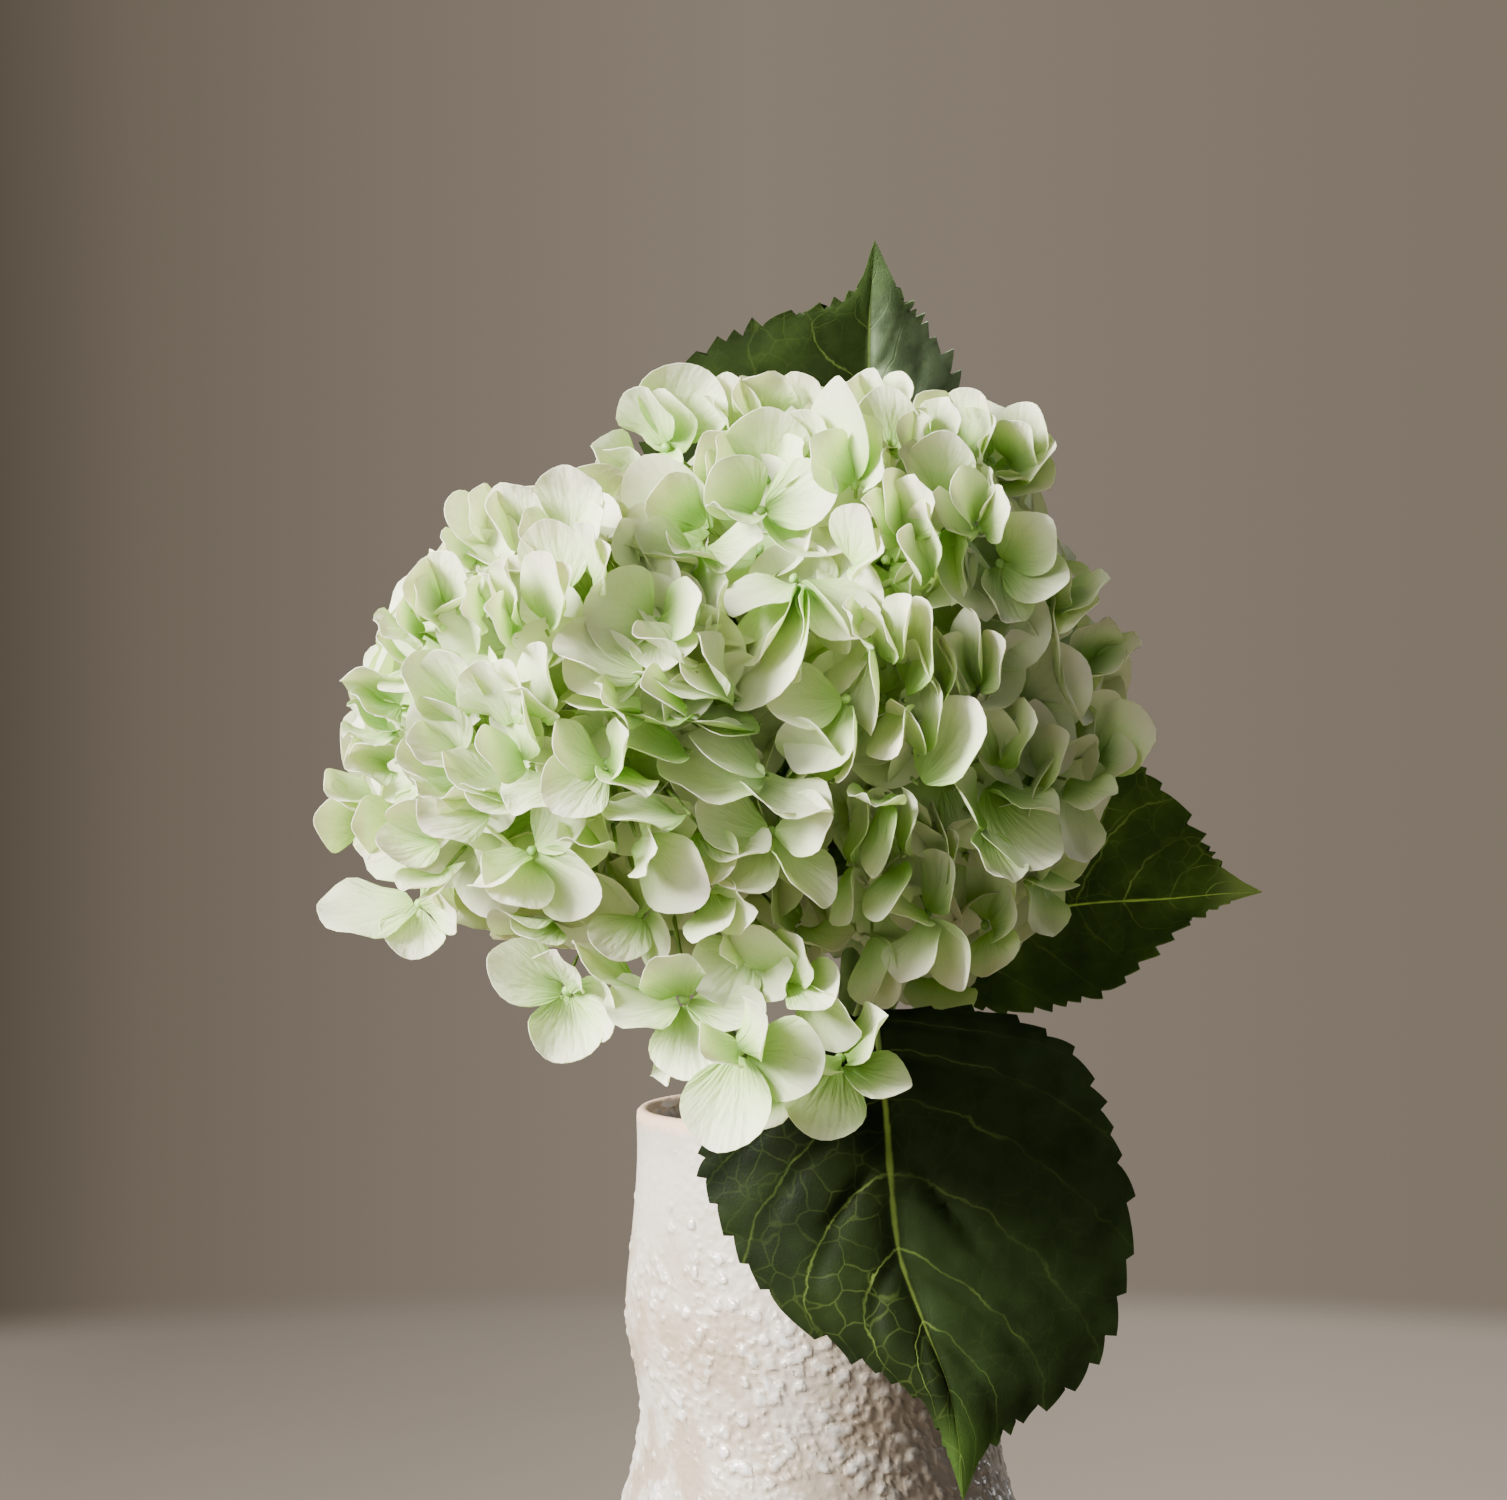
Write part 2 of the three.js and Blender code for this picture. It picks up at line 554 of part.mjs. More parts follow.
function floretsOn(head, name) {
  const side = name === 'low' ? 1 : -1;
  const florets = FLORETS_SEEN.filter(({ on }) => on === name).map((shown) => {
    const unitPlace = seenOnHead(head, shown.px, shown.py);
    const outward = outwardFrom(head, unitPlace);
    return { ...shown, outward, place: onHead(head, unitPlace).addScaledVector(outward, shown.lift ?? 0) };
  });
  const draw = drawFrom(SEED);
  for (let k = 0; k < PLACES_TRIED; k += 1) {
    const height = 1 - (2 * k + 1) / PLACES_TRIED;
    const around = k * Math.PI * (3 - Math.sqrt(5));
    const flat = Math.sqrt(1 - height * height);
    const unitPlace = new THREE.Vector3(flat * Math.cos(around), flat * Math.sin(around), height);
    const place = onHead(head, unitPlace);
    const rule = { roll: 90 * draw(), cup: 24 + 14 * draw(), petal: 27 + 2 * draw() };
    const fromSeam = place.clone().sub(SEAM_POINT).dot(SEAM_NORMAL) * side;
    const crowded = florets.some((other) => other.place.distanceTo(place) < FLORET_SPACING);
    const atStem = head.stem.some((point) => point.distanceTo(place) < STEM_GAP_IN_FLORETS);
    if (fromSeam < SEAM_GAP_IN_FLORETS || crowded || atStem) continue;
    florets.push({ ...rule, outward: outwardFrom(head, unitPlace), place });
  }
  for (const floret of florets) {
    floret.side = side;
    floret.axes = floretAxes(floret.outward, floret.roll, floret.turn ?? 0, floret.nod ?? 0);
    floret.root = floret.place.clone().sub(head.centre);
    floret.root.setLength(floret.root.length() * CORE_SHARE - ROOT_SINK).add(head.centre);
  }
  return florets;
}

function droopingFlorets(head) {
  return FLORETS_DROOPING.map((shown) => {
    const place = seen(shown.px, shown.py, shown.depth);
    const axes = floretAxes(new THREE.Vector3(0, -1, 0), shown.roll, shown.turn ?? 0, shown.nod ?? 0);
    const neck = place.clone().addScaledVector(axes.z, -4);
    const root = place.clone().addScaledVector(axes.z, -9);
    const deep = root.clone().lerp(SPRAY_ROOT, 0.8);
    const bow = root.clone().lerp(deep, 0.5).add(new THREE.Vector3(0, 3, -3));
    return { ...shown, side: 0, place, axes, root, pedicel: [neck, bow, deep] };
  });
}

// the dense middle of a head, where its branchlets run together
function coreSolid(head) {
  const core = new THREE.SphereGeometry(1, 16, 10);
  core.scale(head.reach.x * CORE_SHARE, head.reach.y * CORE_SHARE, head.reach.z * CORE_SHARE);
  core.rotateY(radians(head.lean));
  core.translate(head.centre.x, head.centre.y, head.centre.z);
  return toSolid(core);
}

// everything on one head's side of the seam
function seamSide(side) {
  const size = 400;
  const block = new THREE.BoxGeometry(size, size, size);
  block.translate(0, 0, side * (size / 2 + CLEARANCE));
  block.applyQuaternion(new THREE.Quaternion().setFromUnitVectors(new THREE.Vector3(0, 0, 1), SEAM_NORMAL));
  block.translate(SEAM_POINT.x, SEAM_POINT.y, SEAM_POINT.z);
  return toSolid(block);
}

function headGeometry(name) {
  const head = HEADS[name];
  const loose = name === 'low' ? droopingFlorets(head) : [];
  const florets = [...floretsOn(head, name), ...loose];
  const grown = joined([coreSolid(head), ...florets.map(floretSolid), ...loose.map(pedicelSolid)]);
  const clear = grown.intersect(seamSide(name === 'low' ? 1 : -1)).subtract(stemHole(head.stem));
  return toGeometry(oneBody(clear.simplify(FINEST_EDGE)));
}

// ---- The whole -----------------------------------------------------------------------------------

function material(color, roughness) {
  return new THREE.MeshStandardMaterial({ color, roughness, metalness: 0 });
}

const glaze = material(0xe3d9cc, 0.45);
const stemGreen = material(0x6f8f3a, 0.6);
const leafGreen = material(0x27401f, 0.7);
const petalGreen = material(0xd9e6bd, 0.75);

const flowers = new THREE.Group();

function addPiece(name, geometry, finish) {
  const piece = new THREE.Mesh(geometry, finish);
  piece.name = name;
  flowers.add(piece);
}

addPiece('vase', toGeometry(toSolid(vaseGeometry())), glaze);
addPiece('stem_tall', stemGeometry(TALL_STEM), stemGreen);
addPiece('stem_low', stemGeometry(LOW_STEM), stemGreen);
addPiece('leaf_low', leafGeometry(LEAF_LOW), leafGreen);
addPiece('leaf_right', leafGeometry(LEAF_RIGHT), leafGreen);
addPiece('leaf_top', leafGeometry(LEAF_TOP), leafGreen);
addPiece('bloom_tall', headGeometry('tall'), petalGreen);
addPiece('bloom_low', headGeometry('low'), petalGreen);

export default flowers;
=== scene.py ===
"""Two hydrangea heads on leafy stems in a rough-glazed bottle vase, dressed for the render.

Pieces are modelled in millimetres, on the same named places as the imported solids, and brought to metres
when they are finished. +Z is up, the vase's foot stands on z = 0 and the front faces -Y.
"""

import math

import bpy
import numpy as np
from mathutils import Matrix, Vector, noise


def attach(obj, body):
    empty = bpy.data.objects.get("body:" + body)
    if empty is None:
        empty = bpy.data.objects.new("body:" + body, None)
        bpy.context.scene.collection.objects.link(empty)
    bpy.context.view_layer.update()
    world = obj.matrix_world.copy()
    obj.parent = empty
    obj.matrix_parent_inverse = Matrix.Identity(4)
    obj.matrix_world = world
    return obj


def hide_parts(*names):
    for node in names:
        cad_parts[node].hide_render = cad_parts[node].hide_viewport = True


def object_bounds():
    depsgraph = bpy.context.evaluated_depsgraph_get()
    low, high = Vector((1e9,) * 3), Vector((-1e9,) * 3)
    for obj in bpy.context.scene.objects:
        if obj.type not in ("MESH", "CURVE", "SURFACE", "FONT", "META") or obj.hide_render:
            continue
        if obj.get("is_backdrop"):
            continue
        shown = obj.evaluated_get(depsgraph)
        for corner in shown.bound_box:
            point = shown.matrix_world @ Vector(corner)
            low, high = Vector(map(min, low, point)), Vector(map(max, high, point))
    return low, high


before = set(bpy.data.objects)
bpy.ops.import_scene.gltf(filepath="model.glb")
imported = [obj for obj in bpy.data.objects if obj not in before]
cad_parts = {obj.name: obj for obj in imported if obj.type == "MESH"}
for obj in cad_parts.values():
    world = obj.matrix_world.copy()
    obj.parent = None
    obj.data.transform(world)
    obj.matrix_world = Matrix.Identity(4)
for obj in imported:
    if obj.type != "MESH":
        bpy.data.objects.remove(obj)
CAD_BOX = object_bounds()

MM = 0.001

# ---- The photograph's line of sight --------------------------------------------------------------
# A place that the photograph shows is named by its pixel there and by its depth, its y in millimetres.

EYE = Vector((-19.2, -980, 342.8))
PHOTO_MIDDLE = (753.5, 750)
PHOTO_WIDTH = 1507
MM_PER_PIXEL = 0.3
SENSOR_WIDTH = 36


def sight_line(px, py):
    """The way from the eye through a pixel, as far as one step back."""
    scale = MM_PER_PIXEL / -EYE.y
    return Vector(((px - PHOTO_MIDDLE[0]) * scale, 1, (PHOTO_MIDDLE[1] - py) * scale))


def seen(px, py, depth):
    """The place that is seen at a pixel and lies at a depth."""
    return EYE + sight_line(px, py) * (depth - EYE.y)


# ---- Driving dimensions, in millimetres ----------------------------------------------------------

VASE_HEIGHT = 236
VASE_WALL = 5.5
VASE_FLOOR = 9
VASE_PROFILE = [  # outer radius at each height
    (0, 57), (4, 61), (15, 70), (35, 80), (52, 84.5), (68, 84), (88, 78), (104, 68), (118, 59.5), (134, 55.5),
    (146, 54.3), (158, 55.5), (175, 57), (198, 55), (220, 54), (233, 54),
]
VASE_WAVE = 1.1
VASE_SIDES = 340
VASE_ROWS = 255  # about 1.05 mm apart along the profile
INNER_ROWS = 26
LIP_ROUND = [(0.2, 1), (1.2, 0), (2.6, 0), (3.8, 1), (4.3, 3)]  # in from the wall, and down from the rim
FOOT_RADII = (0, 40)
FLOOR_RADII = (56, 30, 0)

STEM_RADIUS = 3
STALK_RADIUS = 1.5
STEM_POINTS = {
    "tall": [(14, 6, 9.3), (14, 6, 40), (13, 5, 120), (8, -2, 236), (9, -10, 272), (11, -18, 305)],
    "low": [(-2, -4, 9.3), (-2, -4, 40), (-8, -10, 120), (-15, -18, 232), (-33, -28, 270), (-58, -44, 312)],
}
STEM_STEPS = 14
STEM_RINGS = 64
STEM_KNUCKLES = (96, 178, 252)
STALK_RINGS = 24
CLEARANCE = 0.3
SMOOTH_BELOW = math.radians(50)  # edges that bend less than this are shaded smooth

PETAL_THICKNESS = 0.2
PETAL_BREADTH = 0.56  # half a hidden petal's breadth, as a share of its length
FLORET_EYE = 1.5  # how far from a floret's middle its petals start
CORE_SHARE = 0.56  # the dense middle of a head, as a share of the head's reach
BUTTON_SIZE = (1.6, 1.6, 1.2)
BUTTON_RISE = 0.8
BRANCHLET_RADIUS = 0.5

# ---- Small tools ---------------------------------------------------------------------------------


def deselect():
    bpy.ops.object.select_all(action="DESELECT")


def only(obj):
    deselect()
    obj.select_set(True)
    bpy.context.view_layer.objects.active = obj
    return obj


def modified(obj, kind, **settings):
    """The object with one modifier set and applied."""
    only(obj)
    modifier = obj.modifiers.new(kind.title(), kind)
    for name, value in settings.items():
        setattr(modifier, name, value)
    bpy.ops.object.modifier_apply(modifier=modifier.name)
    return obj


def joined(objects):
    deselect()
    for obj in objects:
        obj.select_set(True)
    bpy.context.view_layer.objects.active = objects[0]
    bpy.ops.object.join()
    return bpy.context.view_layer.objects.active


def finished(obj, name, node, material=None):
    """A finished piece: named, in metres, with its finish, standing for its solid."""
    obj.name = name
    obj.data.name = name
    obj.data.transform(Matrix.Scale(MM, 4))
    if material:
        obj.data.materials.append(material)
    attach(obj, "root")
    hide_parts(node)
    return obj


def draw_from(seed):
    """Seeded draws between 0 and 1."""
    state = seed
    while True:
        state = (state + 0x6D2B79F5) & 0xFFFFFFFF
        t = state
        t = ((t ^ (t >> 15)) * (t | 1)) & 0xFFFFFFFF
        t ^= (t + ((t ^ (t >> 7)) * (t | 61) & 0xFFFFFFFF)) & 0xFFFFFFFF
        yield ((t ^ (t >> 14)) & 0xFFFFFFFF) / 4294967296


def smooth_line(points):
    """A centripetal spline through the points, as a function of a share from 0 to 1 of its stretches."""
    points = [Vector(point) for point in points]
    padded = [2 * points[0] - points[1], *points, 2 * points[-1] - points[-2]]

    def at(share):
        place = share * (len(points) - 1)
        k = min(int(place), len(points) - 2)
        weight = place - k
        p0, p1, p2, p3 = padded[k:k + 4]
        d0, d1, d2 = (max(1e-4, (b - a).length ** 0.5) for a, b in ((p0, p1), (p1, p2), (p2, p3)))
        t1 = ((p1 - p0) / d0 - (p2 - p0) / (d0 + d1) + (p2 - p1) / d1) * d1
        t2 = ((p2 - p1) / d1 - (p3 - p1) / (d1 + d2) + (p3 - p2) / d2) * d1
        c2 = -3 * p1 + 3 * p2 - 2 * t1 - t2
        c3 = 2 * p1 - 2 * p2 + t1 + t2
        return p1 + t1 * weight + c2 * weight ** 2 + c3 * weight ** 3

    return at


def evenly(points, steps):
    """Points at even distances along the spline through the points."""
    line = smooth_line(points)
    fine = [line(k / 400) for k in range(401)]
    lengths = [0.0]
    for a, b in zip(fine, fine[1:]):
        lengths.append(lengths[-1] + (b - a).length)
    wanted = [lengths[-1] * k / steps for k in range(steps + 1)]
    return [Vector([np.interp(x, lengths, [p[axis] for p in fine]) for axis in range(3)]) for x in wanted]


# ---- Finishes ------------------------------------------------------------------------------------


class Finish:
    """The node tree of one procedural finish, with short ways to add to it."""

    def __init__(self, name):
        self.material = bpy.data.materials.new(name)
        self.material.use_nodes = True
        self.tree = self.material.node_tree
        self.shader = self.tree.nodes["Principled BSDF"]
        self.output = self.tree.nodes["Material Output"]

    def set(self, socket, value):
        if isinstance(value, bpy.types.NodeSocket):
            self.tree.links.new(value, socket)
        else:
            socket.default_value = value

    def add(self, kind, inputs=None, **settings):
        node = self.tree.nodes.new("ShaderNode" + kind)
        for name, value in settings.items():
            setattr(node, name, value)
        for name, value in (inputs or {}).items():
            self.set(node.inputs[name], value)
        return node

    def maths(self, operation, *values):
        return self.add("Math", dict(enumerate(values)), operation=operation).outputs[0]

    def times(self, first, second):
        return self.maths("MULTIPLY", first, second)

    def plus(self, first, second):
        return self.maths("ADD", first, second)

    def minus(self, first, second):
        return self.maths("SUBTRACT", first, second)

    def parts(self, vector):
        return self.add("SeparateXYZ", {0: vector}).outputs

    def ramp(self, share, *stops):
        node = self.add("ValToRGB", {"Fac": share})
        elements = node.color_ramp.elements
        while len(elements) < len(stops):
            elements.new(1)
        for element, (place, colour) in zip(elements, stops):
            element.position = place
            element.color = (*colour, 1)
        return node.outputs["Color"]

    def blend(self, share, first, second, how="MIX"):
        node = self.add("Mix", data_type="RGBA", blend_type=how)
        for socket, value in zip((node.inputs[0], node.inputs[6], node.inputs[7]), (share, first, second)):
            self.set(socket, (*value, 1) if isinstance(value, tuple) else value)
        return node.outputs[2]

    def ease(self, value, low, high, to_low=0.0, to_high=1.0):
        """A smooth step from to_low at low to to_high at high."""
        inputs = {0: value, 1: low, 2: high, 3: to_low, 4: to_high}
        return self.add("MapRange", inputs, interpolation_type="SMOOTHSTEP").outputs[0]

    def grain(self, where, scale, detail=4.0, roughness=0.55):
        inputs = {"Vector": where, "Scale": scale, "Detail": detail, "Roughness": roughness}
        return self.add("TexNoise", inputs).outputs["Fac"]

    def place(self):
        return self.add("TexCoord").outputs["Object"]

    def bumps(self, height, strength, distance):
        inputs = {"Height": height, "Strength": strength, "Distance": distance}
        self.set(self.shader.inputs["Normal"], self.add("Bump", inputs).outputs["Normal"])

    def shine(self, values):
        for name, value in values.items():
            self.shader.inputs[name].default_value = value

    def mix_in(self, share, other):
        """The surface shader with a share of another one in it."""
        inputs = {0: share, 1: self.shader.outputs[0], 2: other.outputs[0]}
        self.set(self.output.inputs["Surface"], self.add("MixShader", inputs).outputs[0])


def petal_finish():
    """Matt cloth petal: lime throat, cream blade, a pale rim and faint fan-shaped ribs."""
    finish = Finish("petal_cloth")
    uv = finish.add("UVMap").outputs["UV"]
    along, across = finish.parts(uv)[:2]
    tone = finish.add("Attribute", attribute_name="tone").outputs["Fac"]
    where = finish.place()
    cloud = finish.grain(where, 55)
    # the blade's colour runs from the throat to the rim, sooner on pale petals
    shift = finish.maths("MULTIPLY_ADD", finish.minus(tone, 0.5), 0.34, along)
    run = finish.maths("MULTIPLY_ADD", finish.minus(cloud, 0.5), 0.3, shift)
    blade = finish.ramp(
        run, (0.0, (0.40, 0.63, 0.13)), (0.2, (0.60, 0.78, 0.31)), (0.42, (0.79, 0.88, 0.53)),
        (0.7, (0.90, 0.93, 0.71)), (1.0, (0.93, 0.91, 0.81)),
    )
    # ribs fan out from the throat: bands across the petal, waving a little
    sideways = finish.minus(across, 0.5)
    fan = finish.maths("DIVIDE", sideways, finish.plus(along, 0.25))
    wander = finish.maths("MULTIPLY_ADD", finish.grain(uv, 7, 2), 0.35, fan)
    rib = finish.maths("SINE", finish.times(wander, 52))
    fading = finish.ease(along, 0.15, 1.0, 1.0, 0.4)
    ribs = finish.times(rib, fading)
    veined = finish.blend(finish.times(finish.ease(ribs, 0.35, 1.0), 0.22), blade, (0.53, 0.70, 0.30))
    # patches towards the rim have faded to beige
    patches = finish.ease(finish.grain(where, 24, 2), 0.48, 0.66)
    faded = finish.times(finish.times(patches, finish.ease(along, 0.45, 1.0)), 0.55)
    petal = finish.blend(faded, veined, (0.80, 0.72, 0.60))
    finish.set(finish.shader.inputs["Base Color"], petal)
    finish.set(finish.shader.inputs["Roughness"], finish.ease(cloud, 0.3, 0.7, 0.42, 0.6))
    finish.shine({"Sheen Weight": 0.12, "Sheen Roughness": 0.5, "Specular IOR Level": 0.4})
    # soft creases that fan out with the ribs, under fine ribs and the weave
    drawn_out = finish.add("CombineXYZ", {0: finish.times(fan, 3.4), 1: along, 2: tone}).outputs[0]
    creases = finish.grain(drawn_out, 1.5, 2)
    fine = finish.maths("MULTIPLY_ADD", ribs, 0.018, finish.times(finish.grain(where, 900, 2), 0.05))
    finish.bumps(finish.plus(creases, fine), 0.62, 0.0022)
    # light that comes through the thin cloth
    lit = finish.blend(0.7, petal, (0.90, 1.0, 0.62), "MULTIPLY")
    finish.mix_in(0.46, finish.add("BsdfTranslucent", {"Color": lit}))
    return finish.material


def bud_finish():
    """The small green button in the middle of a floret."""
    finish = Finish("floret_button")
    cloud = finish.grain(finish.place(), 400)
    colour = finish.ramp(cloud, (0.3, (0.14, 0.30, 0.05)), (0.7, (0.32, 0.50, 0.12)))
    finish.set(finish.shader.inputs["Base Color"], colour)
    finish.shine({"Roughness": 0.5})
    finish.bumps(cloud, 0.4, 0.0004)
    return finish.material


def stem_finish():
    """Smooth yellow-green stem with lengthwise ridges and darker specks."""
    finish = Finish("stem_green")
    where = finish.place()
    stretch = finish.add("Mapping", {"Vector": where, "Scale": (1, 1, 0.12)}).outputs[0]
    streaks = finish.grain(stretch, 420)
    cloud = finish.grain(where, 60)
    colour = finish.ramp(streaks, (0.3, (0.16, 0.27, 0.05)), (0.65, (0.33, 0.46, 0.12)))
    shaded = finish.blend(finish.ease(cloud, 0.4, 0.75), colour, (0.10, 0.19, 0.04))
    finish.set(finish.shader.inputs["Base Color"], shaded)
    finish.set(finish.shader.inputs["Roughness"], finish.ease(cloud, 0.3, 0.7, 0.4, 0.6))
    finish.bumps(streaks, 0.5, 0.0005)
    return finish.material


# the leaf's side veins: how many a side, and how far they arch to the tip; shared by mesh and finish
VEINS = 8
VEIN_ARCH = 0.2
VEIN_CURVE = 1.5

LEAF_GREENS = [(0.0075, 0.0136, 0.0027), (0.0145, 0.0262, 0.0045), (0.0265, 0.047, 0.0078)]
VEIN_GREENS = [(0.085, 0.15, 0.02), (0.24, 0.33, 0.07), (0.22, 0.31, 0.05)]

# light: painted light, a scale on the blade's greens for how much light falls on each leaf. The right half's
# painted light: the share
# of a paler tint on that half, the tint, and where along the leaf it starts. tip: the share of a tint on the
# tip, and the tint. net_share:
# how strongly the net shows. vein_light: painted light, how light the veins are painted. midrib_end: how much
# of the midrib shows towards the tip.
LEAF_LOOKS = {
    "low": dict(
        light=0.5,
        right_half_painted_light=(0.8, (0.016, 0.028, 0.007), 0),
        tip=(0.5, (0.040, 0.082, 0.011)),
        net_share=0.22,
        vein_light=1,
        midrib_end=0.3,
    ),
    "right": dict(
        light=6.5,
        right_half_painted_light=(0, (0.1, 0.2, 0.03), 0),
        tip=(0.8, (0.35, 0.48, 0.11)),
        net_share=0.5,
        vein_light=4,
        midrib_end=1,
    ),
    "top": dict(
        light=0.95,
        right_half_painted_light=(0.95, (0.25, 0.33, 0.20), 0.68),
        tip=(0.85, (0.035, 0.062, 0.015)),
        net_share=0.22,
        vein_light=0.6,
        midrib_end=0.9,
    ),
}


def lightened(colours, light):
    return [tuple(light * part for part in colour) for colour in colours]


def leaf_finish(name, light, right_half_painted_light, tip, net_share, vein_light, midrib_end):
    """Dark cloth leaf with a printed net of yellow-green veins."""
    finish = Finish(name)
    uv = finish.add("UVMap").outputs["UV"]
    along, over = finish.parts(uv)[:2]
    across = finish.maths("MULTIPLY_ADD", over, 2.0, -1.0)
    out = finish.maths("ABSOLUTE", across)
    where = finish.place()
    cloud = finish.grain(where, 45)
    weave = finish.grain(where, 1500, 2)
    # painted light: the blade's greens are scaled per leaf for how much light falls on it
    dark, middle, pale = lightened(LEAF_GREENS, light)
    blade = finish.ramp(cloud, (0.32, dark), (0.55, middle), (0.75, pale))
    # painted light: the right half of the blade is painted a paler tint, in mottled patches, from a place
    # along the leaf
    share, tint, start = right_half_painted_light
    mottled = finish.ease(finish.grain(where, 110, 3), 0.35, 0.6, 0.55 * share, share)
    painted_half_mask = finish.times(finish.ease(across, -0.05, 0.1), finish.ease(along, start - 0.15, start))
    blade = finish.blend(finish.times(painted_half_mask, mottled), blade, tint)
    blade = finish.blend(finish.ease(along, 0.78, 0.92, 0, tip[0]), blade, tip[1])
    # midrib
    wander = finish.grain(where, 130, 3)
    jitter = finish.maths("MULTIPLY_ADD", wander, 0.03, out)
    kept = finish.ease(along, 0.3, 0.5, 1, midrib_end)
    midrib = finish.times(finish.ease(jitter, 0.016, 0.034, 1, 0), kept)
    # side veins, brighter where they leave the midrib and in patches
    bend = finish.times(finish.maths("POWER", out, VEIN_CURVE), VEIN_ARCH)
    run = finish.plus(finish.minus(along, bend), finish.times(wander, 0.04))
    beat = finish.plus(finish.times(run, VEINS), finish.maths("GREATER_THAN", across, 0.0))
    apart = finish.maths("ABSOLUTE", finish.minus(finish.maths("FRACT", beat), 0.5))
    side = finish.times(finish.ease(apart, 0.0, 0.035, 1, 0), finish.ease(out, 0.2, 1.0, 1, 0.3))
    side = finish.times(side, finish.ease(across, -0.1, 0.15, 1, 0.45))
    # the fine net between them, drawn out of true
    drift = finish.add("TexNoise", {"Vector": where, "Scale": 90, "Detail": 2}).outputs["Color"]
    inputs = {0: drift, 1: (0.006, 0.006, 0.006), 2: where}
    warped = finish.add("VectorMath", inputs, operation="MULTIPLY_ADD").outputs[0]
    inputs = {"Vector": warped, "Scale": 120}
    cells = finish.add("TexVoronoi", inputs, feature="DISTANCE_TO_EDGE").outputs["Distance"]
    patches = finish.ease(finish.grain(where, 38, 3), 0.35, 0.7, 0.15, 1)
    shown = finish.times(patches, finish.ease(across, -0.1, 0.15, net_share, net_share * 0.2))
    net = finish.times(finish.ease(cells, 0.0, 0.048, 1, 0), shown)
    # painted light: the veins' greens are scaled per leaf in the same way
    dim, bright, rib = lightened(VEIN_GREENS, vein_light)
    print_colour = finish.ramp(cloud, (0.3, dim), (0.7, bright))
    glints = finish.ease(finish.grain(where, 70, 2), 0.38, 0.62, 0.35, 1)
    veins = finish.maths("MAXIMUM", finish.times(side, glints), net)
    veined = finish.blend(finish.times(veins, 0.6), blade, print_colour)
    ribbed = finish.blend(midrib, veined, rib)
    finish.set(finish.shader.inputs["Base Color"], ribbed)
    finish.set(finish.shader.inputs["Roughness"], finish.ease(weave, 0.3, 0.7, 0.5, 0.68))
    finish.shine({"Specular IOR Level": 0.07})
    height = finish.maths("MULTIPLY_ADD", veins, -0.7, finish.times(weave, 0.35))
    finish.bumps(height, 0.5, 0.0005)
    lit = finish.blend(0.5, ribbed, (0.10, 0.22, 0.02))
    finish.mix_in(0.08, finish.add("BsdfTranslucent", {"Color": lit}))
    return finish.material


